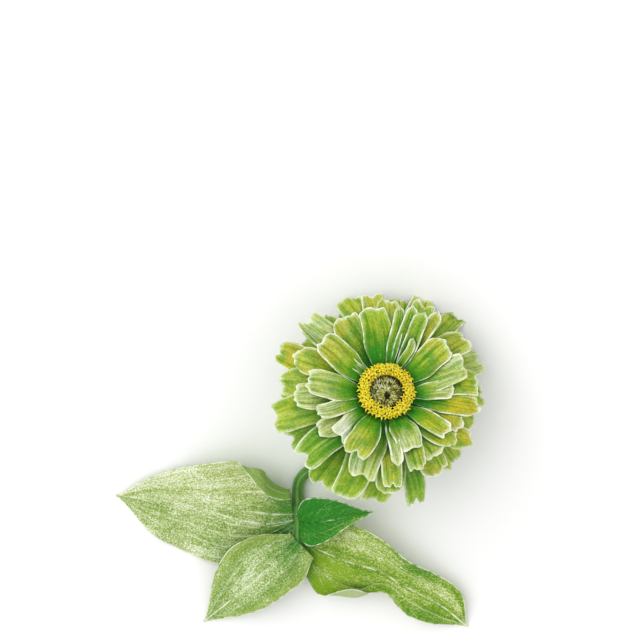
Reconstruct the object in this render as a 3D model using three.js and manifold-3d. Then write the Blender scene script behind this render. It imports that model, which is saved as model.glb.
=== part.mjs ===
// A picked double zinnia lying on a table: a green bloom on its bent neck, a cut stem and four leaves.
// Millimetres, +Z up, the table at z = 0. The bloom leans on its far petals and the stem lies behind it.
// The foot of the bloom, where the neck ends and the receptacle begins, is the plan's own zero point.
// PLAN_SHIFT then moves the whole flower so that its box is centred over the origin.
import * as THREE from "three";
import { mergeVertices } from "three/addons/utils/BufferGeometryUtils.js";
import Module from "manifold-3d";

const wasm = await Module();
wasm.setup();

// ---------------------------------------------------------------- driving dimensions
const PLAN_SHIFT = new THREE.Vector3(37.6, 30.0, 0);
const SEAT_GAP = 0.3; // pieces that grow against each other stay this far apart
const SMALLEST_STEP = 0.004; // where fused pieces cross, shorter edges than this are closed up

// The bloom's frame: its foot, how far its face leans from the vertical, and which way in plan.
const FOOT_HEIGHT = 17.0;
const LEAN = THREE.MathUtils.degToRad(32);
const LEAN_AZIMUTH = THREE.MathUtils.degToRad(60);

const STEM_RADIUS = 2.5;
const STEM_SIDES = 12;
const STEM_STATIONS = 32;
const STEM_RIB = 0.06; // the ribs stand out by this share of the radius
const NODE_SWELL = 1.1; // where a pair of leaves grows
const NODE_SPREAD = 3.2;
const NECK_RADIUS = 2.7;
const RECEPTACLE_RADIUS = 8;
const RECEPTACLE_TOP = 15.5;
const RECEPTACLE_FLARE = 11; // the height in which it reaches its full width

const CUP_WALL = 1.1;
const CUP_FOOT = 2.0;
const CUP_RIM = 16.4;
const CUP_SIDES = 18;
const BRACT_ROWS = [
  { height: 4.9, count: 7, width: 5.6, length: 5.8, turn: 0 },
  { height: 8.6, count: 9, width: 6.6, length: 7.2, turn: 0.5 },
  { height: 12.9, count: 10, width: 7.0, length: 7.6, turn: 0.1 },
];
const BRACT_THICKNESS = 1.9;
const BRACT_FREE = 0.1; // how far a bract's tip leans away from the cup, in radians

const PETAL_THICKNESS = 0.85;
const PRESSED_MIDDLE = 0.1; // how high the middle surface of a petal stays where it is pressed on the table
const PETAL_ROOT_RADIUS = 8.8; // the roots are sunk in the plate that carries them
const ROOT_RUN = 2.6; // how far a petal runs level before it rises
const PLATE_RADIUS = 10.8;
const PLATE_TOP = 19.9;
// From the top of the bloom down: the height where a whorl leaves the plate, and how steeply, in degrees, its
// petals leave it and end. Then each petal's turn round the bloom, in degrees from its right, its length and
// its width. The first three petals are small and rolled.
const WHORLS = [
  {
    height: 18.2,
    rise: 50,
    fall: 26,
    petals: [
      [68, 20, 3.4], [137, 15.5, 2.6], [143, 16, 4],
    ],
  },
  {
    height: 18.5,
    rise: 42,
    fall: 4,
    petals: [
      [7, 21.5, 8], [22, 29.5, 11.6], [42, 27.5, 12], [63, 35, 5.8],
      [69, 31.5, 6.6], [79, 32.5, 5.4], [88, 31, 4.8], [105, 30.5, 12.6],
      [150, 32.5, 12], [183, 30.5, 11.4], [204, 28.5, 7], [227, 25, 11.4],
      [247, 29.5, 12], [278, 27, 5.2], [295, 21, 11.8], [329, 24.5, 8],
    ],
  },
  {
    height: 18.2,
    rise: 26,
    fall: -12,
    petals: [
      [14, 32.5, 11.5], [41, 37, 12], [71, 37.5, 10], [95, 35, 11.5],
      [125, 31, 13.8], [161, 35.5, 12], [186, 33, 11.4], [218, 27, 9.5],
      [256, 32, 13], [275, 34.5, 9], [299, 28, 9], [314, 26.5, 10.5],
      [325, 28.5, 10], [343, 27.5, 10], [355, 33, 9.4],
    ],
  },
  {
    height: 17.9,
    rise: 11,
    fall: -32,
    petals: [
      [29, 42, 12.4], [52, 47.5, 9.6], [72, 44, 11], [86, 40.5, 11],
      [100, 40.5, 11], [112, 42, 12.6], [137, 41, 12.8], [161, 45, 12.6],
      [178, 38, 13.4], [196, 42.5, 14.4], [223, 39.5, 13.4], [253, 41.5, 13.2],
      [276, 36, 12.6], [311, 33.5, 12.6], [336, 35, 10.6], [8, 38, 11],
    ],
  },
  {
    height: 17.4,
    rise: -4,
    fall: -46,
    petals: [
      [18, 42, 13], [42, 40, 13], [66, 41.5, 13], [88, 40.5, 13], [121, 41, 13],
      [146, 39, 13], [179, 39.5, 13], [209, 39.5, 13.6], [239, 41.5, 13.6],
      [271, 40.5, 13], [294, 43, 9.4], [328, 39, 12.6], [353, 36.5, 12.6],
    ],
  },
];
const PETAL_STATIONS = 6;
const NARROW = 7; // petals narrower than this are folded deeper along their middle
const NARROW_FOLD = 0.3;

const DISC_BASE = 20.3;
const DISC_RADIUS = 7.4;
const DISC_RISE = 5.2;
const DISC_SIDES = 30;
const DISC_RINGS = 6;
const DISC_BUMP = 0.32;

const FLORET_RING = { inner: 7.8, outer: 10.3, top: 23.4 };
const FLORET_ROWS = [
  { count: 12, radius: 8.9, height: 26.2, lean: 4, size: 2.1 },
  { count: 15, radius: 10.8, height: 25.2, lean: 32, size: 2.25 },
];

const LEAF_THICKNESS = 0.9;
const LEAF_GROOVE = 0.5; // how deep the midrib and the long veins are sunk at the base
const LEAF_STATIONS = 12;
const LEAF_ACROSS = [-1, -0.87, -0.74, -0.62, -0.5, -0.25, 0, 0.25, 0.5, 0.62, 0.74, 0.87, 1];
const LEAF_VEINS = [-0.5, 0, 0.5]; // the columns that lie in a groove

// ---------------------------------------------------------------- small helpers
const radians = THREE.MathUtils.degToRad;
const mix = THREE.MathUtils.lerp;
const smooth = THREE.MathUtils.smoothstep;

// The same number between 0 and 1 for the same pair, every time.
function chance(index, kind) {
  const wave = Math.sin(index * 127.1 + kind * 311.7) * 43758.5453;
  return wave - Math.floor(wave);
}

// A value that swings round zero by the given amount.
const swing = (index, kind, amount) => (2 * chance(index, kind) - 1) * amount;

function solidOf(geometry) {
  const bare = new THREE.BufferGeometry();
  bare.setAttribute("position", geometry.getAttribute("position").clone());
  if (geometry.index) bare.setIndex(geometry.index.clone());
  const merged = mergeVertices(bare, 1e-4);
  return new wasm.Manifold(
    new wasm.Mesh({
      numProp: 3,
      vertProperties: new Float32Array(merged.attributes.position.array),
      triVerts: new Uint32Array(merged.index.array),
    }),
  );
}

function geometryOf(solid) {
  const mesh = solid.getMesh();
  const geometry = new THREE.BufferGeometry();
  geometry.setAttribute("position", new THREE.BufferAttribute(new Float32Array(mesh.vertProperties), 3));
  geometry.setIndex(new THREE.BufferAttribute(new Uint32Array(mesh.triVerts), 1));
  geometry.computeVertexNormals();
  return geometry;
}

// Fuses pieces into one body. A hollow that the fusing seals is filled, and a loose scrap is dropped.
function joined(geometries) {
  const fused = geometries.map(solidOf).reduce((sum, next) => sum.add(next));
  const whole = fused.simplify(SMALLEST_STEP);
  return whole.decompose().reduce((best, body) => (body.volume() > best.volume() ? body : best));
}

const sumOf = (points) => points.reduce((sum, point) => sum.add(point), new THREE.Vector3());
const middleOf = (ring) => sumOf(ring).divideScalar(ring.length);

// Joins a run of closed rings of points, each with the same count, into one closed tube. Each end is closed
// by a fan from its middle, which suits a star as well as a round.
function tubeOfRings(rings) {
  const sides = rings[0].length;
  const count = rings.length * sides;
  const points = [...rings.flat(), middleOf(rings[0]), middleOf(rings.at(-1))];
  const faces = [];
  for (let i = 0; i + 1 < rings.length; i += 1) {
    for (let j = 0; j < sides; j += 1) {
      const a = i * sides + j;
      const b = i * sides + ((j + 1) % sides);
      faces.push(a, b, b + sides, a, b + sides, a + sides);
    }
  }
  const last = count - sides;
  for (let j = 0; j < sides; j += 1) {
    const next = (j + 1) % sides;
    faces.push(count, next, j);
    faces.push(count + 1, last + j, last + next);
  }
  return pointGeometry(points, faces);
}

function pointGeometry(points, faces) {
  const geometry = new THREE.BufferGeometry();
  const numbers = points.flatMap((point) => point.toArray());
  geometry.setAttribute("position", new THREE.Float32BufferAttribute(numbers, 3));
  geometry.setIndex(faces);
  return geometry;
}

// A thin blade: surface(i, j) is a point of its middle surface. Both faces are cut into the same triangles.
function blade(surface, rows, columns, thickness) {
  const middle = [];
  for (let i = 0; i <= rows; i += 1) {
    middle.push([]);
    for (let j = 0; j <= columns; j += 1) middle[i].push(surface(i, j));
  }
  const points = [];
  for (const side of [0.5, -0.5]) {
    for (let i = 0; i <= rows; i += 1) {
      for (let j = 0; j <= columns; j += 1) {
        const along = middle[Math.min(i + 1, rows)][j].clone().sub(middle[Math.max(i - 1, 0)][j]);
        const across = middle[i][Math.min(j + 1, columns)].clone().sub(middle[i][Math.max(j - 1, 0)]);
        const up = along.cross(across).normalize();
        points.push(middle[i][j].clone().addScaledVector(up, -side * thickness));
      }
    }
  }
  const width = columns + 1;
  const under = (rows + 1) * width;
  const faces = [];
  const quad = (a, b, c, d) => faces.push(a, b, c, a, c, d);
  for (let i = 0; i < rows; i += 1) {
    for (let j = 0; j < columns; j += 1) {
      const a = i * width + j;
      quad(a, a + 1, a + 1 + width, a + width);
      faces.push(under + a, under + a + 1 + width, under + a + 1);
      faces.push(under + a, under + a + width, under + a + 1 + width);
    }
  }
  for (let i = 0; i < rows; i += 1) {
    const left = i * width;
    const right = left + columns;
    quad(left, left + width, left + width + under, left + under);
    quad(right + under, right + width + under, right + width, right);
  }
  for (let j = 0; j < columns; j += 1) {
    const tip = rows * width + j;
    quad(j + under, j + 1 + under, j + 1, j);
    quad(tip, tip + 1, tip + 1 + under, tip + under);
  }
  return pointGeometry(points, faces);
}

function mesh(name, geometry, material) {
  const made = new THREE.Mesh(geometry, material);
  made.name = name;
  return made;
}

// ---------------------------------------------------------------- materials
const leafGreen = new THREE.MeshStandardMaterial({ color: "#6f9a35", roughness: 0.62, metalness: 0 });
const shadeGreen = new THREE.MeshStandardMaterial({ color: "#2f7a2b", roughness: 0.6, metalness: 0 });
const stemGreen = new THREE.MeshStandardMaterial({ color: "#4f8a35", roughness: 0.6, metalness: 0 });
const bractGreen = new THREE.MeshStandardMaterial({ color: "#5c8f3a", roughness: 0.6, metalness: 0 });
const petalGreen = new THREE.MeshStandardMaterial({ color: "#8fb03c", roughness: 0.55, metalness: 0 });
const discBrown = new THREE.MeshStandardMaterial({ color: "#4d5030", roughness: 0.75, metalness: 0 });
const floretYellow = new THREE.MeshStandardMaterial({ color: "#f2c81e", roughness: 0.5, metalness: 0 });

// ---------------------------------------------------------------- the bloom's frame
const foot = new THREE.Vector3(0, 0, FOOT_HEIGHT);
const leanTo = new THREE.Vector3(Math.cos(LEAN_AZIMUTH), Math.sin(LEAN_AZIMUTH), 0);
const headUp = new THREE.Vector3(0, 0, Math.cos(LEAN)).addScaledVector(leanTo, Math.sin(LEAN));
const headRight = new THREE.Vector3(1, 0, 0).addScaledVector(headUp, -headUp.x).normalize();
const headFar = headUp.clone().cross(headRight);
const headFrame = new THREE.Matrix4().makeBasis(headRight, headFar, headUp).setPosition(foot);
const headInverse = headFrame.clone().invert();

// A point of the bloom that would be lower than the clearance over the table is lifted to it.
function onTable(point, clearance) {
  const inPlan = point.clone().applyMatrix4(headFrame);
  if (inPlan.z >= clearance) return point;
  inPlan.z = clearance;
  return inPlan.applyMatrix4(headInverse);
}

const polar = (radius, angle, height) =>
  new THREE.Vector3(radius * Math.cos(angle), radius * Math.sin(angle), height);

// ---------------------------------------------------------------- stem and receptacle
// The neck is an arc in the upright plane that the bloom leans in. It ends level with the table.
const stemLift = STEM_RADIUS * (1 + STEM_RIB);
const neckTurn = Math.PI / 2 - LEAN;
const neckBend = (FOOT_HEIGHT - stemLift) / (1 - Math.cos(neckTurn));

function neckPoint(share) {
  const slope = mix(neckTurn, 0, share);
  const run = neckBend * (Math.sin(neckTurn) - Math.sin(slope));
  const drop = neckBend * (Math.cos(slope) - Math.cos(neckTurn));
  return foot.clone().addScaledVector(leanTo, -run).setZ(FOOT_HEIGHT - drop);
}

const upperNode = new THREE.Vector3(-37.4, -53.0, stemLift);
const lowerNode = new THREE.Vector3(-37.6, -66.5, stemLift);
const cutEnd = new THREE.Vector3(-38.8, -87.0, stemLift);

const stemLine = new THREE.CatmullRomCurve3(
  [
    cutEnd,
    lowerNode,
    upperNode,
    new THREE.Vector3(-36.4, -38.2, stemLift),
    neckPoint(1),
    neckPoint(0.75),
    neckPoint(0.5),
    neckPoint(0.25),
    foot,
    foot.clone().addScaledVector(headUp, RECEPTACLE_TOP / 2),
    foot.clone().addScaledVector(headUp, RECEPTACLE_TOP),
  ],
  false,
  "centripetal",
);

// How wide the receptacle has grown at a height above the bloom's foot.
function receptacleRadius(height) {
  return mix(NECK_RADIUS, RECEPTACLE_RADIUS, smooth(height, 0, RECEPTACLE_FLARE));
}

function stemRadiusAt(point) {
  const height = point.clone().sub(foot).dot(headUp);
  if (height > 0) return receptacleRadius(height);
  const swell = (node) => NODE_SWELL * Math.exp(-((point.distanceTo(node) / NODE_SPREAD) ** 2));
  const taper = mix(STEM_RADIUS, NECK_RADIUS, smooth(point.z, stemLift, FOOT_HEIGHT));
  return taper + swell(upperNode) + swell(lowerNode);
}

// Rings along the line, with no twist between one and the next.
function stemGeometry(grow) {
  const rings = [];
  const side = new THREE.Vector3(1, 0, 0);
  for (let i = 0; i <= STEM_STATIONS; i += 1) {
    const at = stemLine.getPointAt(i / STEM_STATIONS);
    const along = stemLine.getTangentAt(i / STEM_STATIONS);
    side.addScaledVector(along, -side.dot(along)).normalize();
    const lift = along.clone().cross(side);
    const radius = stemRadiusAt(at);
    const ring = [];
    for (let j = 0; j < STEM_SIDES; j += 1) {
      const angle = (2 * Math.PI * j) / STEM_SIDES;
      const rib = 1 + (j % 2 ? STEM_RIB : -STEM_RIB);
      const reach = radius * rib + grow;
      const corner = at.clone().addScaledVector(side, reach * Math.cos(angle));
      corner.addScaledVector(lift, reach * Math.sin(angle));
      corner.z = Math.max(corner.z, -grow);
      ring.push(corner);
    }
    rings.push(ring);
  }
  return tubeOfRings(rings);
}

const fatStem = solidOf(stemGeometry(SEAT_GAP));

// ---------------------------------------------------------------- involucre: the scaly cup under the petals
// The lathe's flats cut the corner between its sides, so the wall stands off by that much more.
function cupRadius(height) {
  const clear = receptacleRadius(height) * (1 + STEM_RIB) + SEAT_GAP;
  return clear / Math.cos(Math.PI / CUP_SIDES) + CUP_WALL;
}

function cupGeometry() {
  const steps = 4;
  const outside = [];
  const inside = [];
  for (let i = 0; i <= steps; i += 1) {
    const height = mix(CUP_FOOT, CUP_RIM, i / steps);
    outside.push(new THREE.Vector2(cupRadius(height), height));
    inside.unshift(new THREE.Vector2(cupRadius(height) - CUP_WALL, height));
  }
  return new THREE.LatheGeometry([...outside, ...inside, outside[0]], CUP_SIDES).rotateX(Math.PI / 2);
}

// One bract: a rounded scale that lies on the cup, its tip a little free.
function bractGeometry(row, index) {
  const shape = new THREE.SphereGeometry(0.5, 6, 3);
  shape.scale(row.width, BRACT_THICKNESS, row.length);
  const slope = Math.atan2(cupRadius(row.height + 1) - cupRadius(row.height - 1), 2);
  shape.rotateX(-slope - BRACT_FREE);
  shape.translate(0, cupRadius(row.height) + 0.15, row.height);
  return shape.rotateZ((2 * Math.PI * (index + row.turn)) / row.count);
}

function involucreSolid() {
  const rowOf = (row) => Array.from({ length: row.count }, (_, i) => bractGeometry(row, i));
  const bracts = BRACT_ROWS.flatMap(rowOf);
  return joined([cupGeometry(), ...bracts]);
}

// ---------------------------------------------------------------- ray petals, in five whorls on one plate
function plateGeometry() {
  const low = RECEPTACLE_TOP + SEAT_GAP;
  const profile = [
    [0, low],
    [7.6, low],
    [7.9, CUP_RIM + SEAT_GAP],
    [PLATE_RADIUS - 0.4, CUP_RIM + SEAT_GAP],
    [PLATE_RADIUS, 18.2],
    [PLATE_RADIUS - 0.9, PLATE_TOP],
    [0, PLATE_TOP],
  ];
  return new THREE.LatheGeometry(profile.map(([r, z]) => new THREE.Vector2(r, z)), 28).rotateX(Math.PI / 2);
}

// Everything that sets one petal apart from its neighbours.
function petalOf(whorl, [turn, length, width], number) {
  return {
    length,
    width,
    angle: radians(turn),
    height: whorl.height + swing(number, 2, 0.15),
    rise: radians(whorl.rise + swing(number, 3, 4)),
    fall: radians(whorl.fall + swing(number, 4, 7)),
    twist: swing(number, 7, 0.22),
    sway: swing(number, 8, 1.6),
    channel: mix(0.1, 0.34, chance(number, 9)) + (width < NARROW ? NARROW_FOLD : 0),
    notch: chance(number, 10) < 0.6 ? mix(0.02, 0.07, chance(number, 11)) : -0.02,
    wave: swing(number, 12, 1),
  };
}

// Half the width at a share of the length: a narrow claw, a broad blade and a blunt tip.
function petalHalfWidth(petal, s) {
  const claw = mix(0.3, 1, smooth(s, 0.02, 0.68));
  const tip = 1 - 0.24 * Math.max(0, (s - 0.8) / 0.2) ** 2;
  return 0.5 * petal.width * claw * tip;
}

// A point of the petal's middle surface: s runs from root to tip, w from one edge to the other.
function petalPoint(petal, s, w) {
  const tip = 1 + s * s * (-0.075 * w * w - petal.notch * Math.exp(-((w / 0.35) ** 2)));
  const reach = s * tip;
  const steps = 12;
  let radius = PETAL_ROOT_RADIUS;
  let height = petal.height;
  const step = (petal.length * reach) / steps;
  for (let i = 0; i < steps; i += 1) {
    const share = ((i + 0.5) / steps) * reach;
    const slope = mix(petal.rise, petal.fall, share ** 1.1) * smooth(share * petal.length, 0, ROOT_RUN);
    radius += step * Math.cos(slope);
    height += step * Math.sin(slope);
  }
  const slope = mix(petal.rise, petal.fall, reach ** 1.1);
  const half = petalHalfWidth(petal, s);
  const turn = petal.twist * s * s;
  const cup = petal.channel * half * w * w * (1 - 0.6 * s) * smooth(s, 0.02, 0.25) - 0.1 * half * s * s;
  const ripple = 0.09 * half * s * petal.wave * Math.sin(3.1 * w + 5 * s);
  const across = half * w * Math.cos(turn) + petal.sway * s * s;
  const lift = half * w * Math.sin(turn) + cup + ripple;
  const local = polar(radius - lift * Math.sin(slope), 0, height + lift * Math.cos(slope));
  local.y = across;
  return local.applyAxisAngle(new THREE.Vector3(0, 0, 1), petal.angle);
}

// A petal's middle surface stays a little above the table, and its underside is pressed flat on it.
function petalGeometry(petal) {
  const rows = PETAL_STATIONS - 1;
  const point = (i, j) => onTable(petalPoint(petal, i / rows, j - 1), PRESSED_MIDDLE);
  const shape = blade(point, rows, 2, PETAL_THICKNESS);
  const places = shape.getAttribute("position");
  for (let i = 0; i < places.count; i += 1) {
    const pressed = onTable(new THREE.Vector3().fromBufferAttribute(places, i), 0);
    places.setXYZ(i, pressed.x, pressed.y, pressed.z);
  }
  return shape;
}

function petals() {
  const all = [];
  for (const whorl of WHORLS) {
    for (const sizes of whorl.petals) all.push(petalOf(whorl, sizes, all.length + 1));
  }
  return all;
}

const raySolid = () => joined([plateGeometry(), ...petals().map(petalGeometry)]);

// ---------------------------------------------------------------- disc: chaffy scales in the middle
function discGeometry() {
  const rings = [];
  for (let i = 0; i <= DISC_RINGS; i += 1) {
    const share = i / DISC_RINGS;
    const ring = [];
    for (let j = 0; j < DISC_SIDES; j += 1) {
      const bump = i > 0 && i < DISC_RINGS ? DISC_BUMP * ((i + j) % 2 ? 1 : -1) : 0;
      const radius = mix(DISC_RADIUS, 0.6, share) + bump * 0.4;
      const dome = DISC_RISE * Math.sqrt(1 - (1 - share) ** 2) * (1 - 0.16 * share ** 4);
      ring.push(polar(radius, (2 * Math.PI * j) / DISC_SIDES, DISC_BASE + 0.9 + dome + bump));
    }
    rings.push(ring);
  }
  rings.unshift(rings[0].map((p) => p.clone().setZ(DISC_BASE)));
  return tubeOfRings(rings);
}

// ---------------------------------------------------------------- disc florets: a ring of small yellow stars
function floretRingGeometry() {
  const { inner, outer, top } = FLORET_RING;
  const profile = [
    [inner, DISC_BASE],
    [outer, DISC_BASE],
    [outer, top - 0.8],
    [outer - 0.8, top],
    [inner, top],
    [inner, DISC_BASE],
  ];
  return new THREE.LatheGeometry(profile.map(([r, z]) => new THREE.Vector2(r, z)), 24).rotateX(Math.PI / 2);
}

// One floret: a tapering funnel that opens into five pointed lobes.
function floretGeometry(row, index, number) {
  const lobes = 5;
  const rings = [
    { level: -4.4, wide: 0.5, narrow: 0.45 },
    { level: 0, wide: row.size, narrow: 0.85 },
  ].map(({ level, wide, narrow }) =>
    Array.from({ length: 2 * lobes }, (_, j) =>
      polar(j % 2 ? narrow : wide * (1 + swing(number + j, 21, 0.12)), (Math.PI * j) / lobes, level),
    ),
  );
  const turn = (2 * Math.PI * (index + swing(number, 22, 0.2))) / row.count;
  return tubeOfRings(rings)
    .rotateZ(chance(number, 23) * 2)
    .rotateY(radians(row.lean + swing(number, 24, 7)))
    .translate(row.radius, 0, row.height + swing(number, 25, 0.4))
    .rotateZ(turn);
}

function floretSolid() {
  const stars = FLORET_ROWS.flatMap((row, r) =>
    Array.from({ length: row.count }, (_, i) => floretGeometry(row, i, 40 * r + i + 1)),
  );
  return joined([floretRingGeometry(), ...stars]);
}

// ---------------------------------------------------------------- leaves
// Each leaf: the line of its midrib from stem to tip, how far its two halves reach out at equal steps along
// it (left and right as seen from the stem), how it banks, how its halves fold up, and its wave. A curl turns
// the outer part of one half up and over near a place along the leaf.
const LEAVES = [
  {
    name: "leaf_left",
    material: leafGreen,
    line: [
      [-39.0, -57.0, 4.6],
      [-51.2, -58.8, 6.4],
      [-63.5, -57.4, 6.4],
      [-82, -53, 4.6],
      [-104, -50, 2.0],
      [-121, -49.5, 0.5],
    ],
    left: [4, 14, 22.5, 23.5, 20.5, 14, 0.4],
    right: [24, 42, 34, 23.5, 16.5, 9, 0.4],
    bank: [0.12, 0.02, 0],
    fold: { left: -0.08, right: 0.06 },
    wave: { height: 1.3, ripples: 2.4, start: 0.4 },
    curl: { side: 1, turn: 3.3, place: 0.1, spread: 0.25 },
  },
  {
    name: "leaf_right",
    material: leafGreen,
    line: [
      [-34.9, -67.6, 4.6],
      [-24.9, -71.7, 5.0],
      [-13.6, -75.2, 7.0],
      [-0.3, -78.5, 8.6],
      [12.3, -85.6, 8.2],
      [26.9, -94, 5.4],
      [39, -105.2, 0.4],
    ],
    left: [6, 17.5, 19.5, 13, 12.6, 10.8, 0.4],
    right: [8, 19, 21.8, 7.5, 11, 9.4, 0.4],
    bank: [0, -0.1, 0.1],
    fold: { left: 0.2, right: 0.1 },
    wave: { height: 1.6, ripples: 1.5, start: 2.2 },
    curl: { side: 1, turn: 3.6, place: 0.33, spread: 0.14 },
  },
  {
    name: "leaf_front",
    material: leafGreen,
    line: [
      [-37.9, -65.4, 7.0],
      [-45.3, -72.5, 10.0],
      [-53, -80.5, 10.8],
      [-63.5, -91, 7.5],
      [-81.2, -107.4, 0.4],
    ],
    left: [11.5, 15.6, 14.4, 12.6, 9.6, 5, 0.4],
    right: [4, 13.5, 18, 17, 12.8, 5.8, 0.4],
    bank: [0, 0, 0],
    fold: { left: 0.1, right: 0.14 },
    wave: { height: 0.8, ripples: 1.4, start: 0.9 },
    curl: { side: -1, turn: 0, place: 0.5, spread: 0.2 },
  },
  {
    name: "leaf_upper",
    material: shadeGreen,
    line: [
      [-36.6, -57.6, 5.6],
      [-32.2, -56.6, 10.2],
      [-27.2, -55.2, 14],
      [-19.6, -52.8, 16.8],
      [-11.5, -50.6, 17.2],
      [-2.0, -48.8, 16.2],
    ],
    left: [4, 9.5, 12.8, 12.6, 8.8, 3, 0.4],
    right: [8, 10.5, 9.6, 7.6, 4.6, 2.4, 0.4],
    bank: [-0.1, -0.15, -0.2],
    fold: { left: 0.12, right: 0.3 },
    wave: { height: 0.6, ripples: 1.3, start: 1.4 },
    curl: { side: -1, turn: 0, place: 0.5, spread: 0.2 },
  },
];
const CURLED_SHARE = 0.5; // of a half's width

const stepped = (values) => values.map((value, i) => new THREE.Vector2(i, value));
const smoothThrough = (values) => new THREE.SplineCurve(stepped(values));

// A half's outer share bends round an arc: how far out and how far up it comes.
function curledReach(edge, turn) {
  const beyond = Math.max(0, edge - (1 - CURLED_SHARE)) / CURLED_SHARE;
  if (turn * beyond < 1e-3) return { out: edge, up: 0 };
  const radius = CURLED_SHARE / turn;
  const angle = turn * beyond;
  return { out: 1 - CURLED_SHARE + radius * Math.sin(angle), up: radius * (1 - Math.cos(angle)) };
}

// How strongly the leaf's half on side w is curled at s.
function curlAt(leaf, s, w) {
  const { side, turn, place, spread } = leaf.curl;
  return side * w > 0 ? turn * Math.exp(-(((s - place) / spread) ** 2)) : 0;
}

function leafSurface(leaf) {
  const points = leaf.line.map((place) => new THREE.Vector3(...place));
  const midrib = new THREE.CatmullRomCurve3(points, false, "centripetal");
  const reach = { left: smoothThrough(leaf.left), right: smoothThrough(leaf.right) };
  const banks = smoothThrough(leaf.bank);
  return (i, j) => {
    const s = i / LEAF_STATIONS;
    const w = LEAF_ACROSS[j];
    const edge = Math.abs(w);
    const side = w < 0 ? "left" : "right";
    const at = midrib.getPointAt(s);
    const along = midrib.getTangentAt(s);
    const across = new THREE.Vector3(along.y, -along.x, 0).normalize();
    across.applyAxisAngle(along, -banks.getPoint(s).y);
    const up = across.clone().cross(along).normalize();
    const half = reach[side].getPoint(s).y;
    const { out, up: curlUp } = curledReach(edge, curlAt(leaf, s, w));
    const phase = 2 * Math.PI * leaf.wave.ripples * s + leaf.wave.start + (w < 0 ? 2.2 : 0);
    const fading = Math.sqrt(Math.sin(Math.PI * s));
    const ripple = leaf.wave.height * edge ** 1.6 * Math.sin(phase) * fading;
    const groove = LEAF_VEINS.includes(w) ? -LEAF_GROOVE * (1 - s) : 0;
    at.addScaledVector(across, Math.sign(w) * half * out * Math.cos(leaf.fold[side]));
    at.addScaledVector(up, half * (out * Math.sin(leaf.fold[side]) + curlUp) + ripple + groove);
    at.z = Math.max(at.z, LEAF_THICKNESS / 2);
    return at;
  };
}

function leafMesh(leaf) {
  const flat = blade(leafSurface(leaf), LEAF_STATIONS, LEAF_ACROSS.length - 1, LEAF_THICKNESS);
  return mesh(leaf.name, geometryOf(solidOf(flat).subtract(fatStem)), leaf.material);
}

// ---------------------------------------------------------------- the flower
const bloom = new THREE.Group();
bloom.applyMatrix4(headFrame);
bloom.add(mesh("involucre", geometryOf(involucreSolid()), bractGreen));
bloom.add(mesh("ray_petals", geometryOf(raySolid()), petalGreen));
bloom.add(mesh("disc_scales", discGeometry(), discBrown));
bloom.add(mesh("disc_florets", geometryOf(floretSolid()), floretYellow));

const flower = new THREE.Group();
flower.add(mesh("stem", stemGeometry(0), stemGreen));
flower.add(bloom);
LEAVES.forEach((leaf) => flower.add(leafMesh(leaf)));
flower.position.copy(PLAN_SHIFT);

const zinnia = new THREE.Group();
zinnia.add(flower);
export default zinnia;
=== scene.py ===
# %% [markdown]
# # A picked double zinnia
# A green double zinnia lies on a pale table: a bloom on its bent neck, a cut stem and four leaves. The
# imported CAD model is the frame. It gives the size and the place of every part, and each CAD solid is
# replaced here by a finer piece that follows the same rule, so nothing has to be fitted by eye.

# %% Load the frame
import math

import bpy
import numpy as np
from mathutils import Matrix
from mathutils.bvhtree import BVHTree


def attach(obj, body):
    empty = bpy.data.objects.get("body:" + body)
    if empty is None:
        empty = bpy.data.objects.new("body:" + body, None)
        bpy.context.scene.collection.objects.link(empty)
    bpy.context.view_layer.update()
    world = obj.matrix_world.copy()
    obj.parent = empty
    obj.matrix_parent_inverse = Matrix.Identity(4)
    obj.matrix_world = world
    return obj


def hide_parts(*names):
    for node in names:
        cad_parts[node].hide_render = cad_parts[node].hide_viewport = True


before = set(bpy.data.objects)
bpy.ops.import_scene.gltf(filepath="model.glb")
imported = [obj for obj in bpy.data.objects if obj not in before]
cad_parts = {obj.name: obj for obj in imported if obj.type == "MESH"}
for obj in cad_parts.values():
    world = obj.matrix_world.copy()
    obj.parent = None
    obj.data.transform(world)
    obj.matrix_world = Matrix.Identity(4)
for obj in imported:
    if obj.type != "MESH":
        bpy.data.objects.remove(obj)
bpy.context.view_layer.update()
print("solids in the frame:", sorted(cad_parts))

# %% [markdown]
# ## The camera
# The picture looks down on the table from nearly straight above, rolled a little. A long lens far away
# keeps the shapes as flat as they are drawn. The camera stands on the line of sight through the picture's
# middle, and its lens is worked out from how many millimetres of the table one pixel shows.

# %% Place the camera
MM = 0.001
PICTURE_PIXELS = 640
MM_PER_PIXEL = 0.44
CAMERA_DISTANCE = 1500
TOWARDS_CAMERA = np.array([0.121, 0.2095, 0.9703])
PICTURE_RIGHT = np.array([0.9923, 0.0, -0.1237])
PLAN_SHIFT = np.array([37.6, 30.0, 0.0])
ANCHOR = PLAN_SHIFT + [0, 0, 19.5]  # this point of the bloom is seen at ANCHOR_PIXEL
ANCHOR_PIXEL = (377.7, 406.7)
FILM_WIDTH = 36


def unit(vector):
    return vector / np.linalg.norm(vector, axis=-1, keepdims=True)


sight = unit(TOWARDS_CAMERA)
picture_right = unit(PICTURE_RIGHT - sight * (PICTURE_RIGHT @ sight))
picture_up = np.cross(sight, picture_right)
middle = PICTURE_PIXELS / 2
to_middle = picture_right * (middle - ANCHOR_PIXEL[0]) + picture_up * (ANCHOR_PIXEL[1] - middle)
camera_place = ANCHOR + to_middle * MM_PER_PIXEL + sight * CAMERA_DISTANCE

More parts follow.
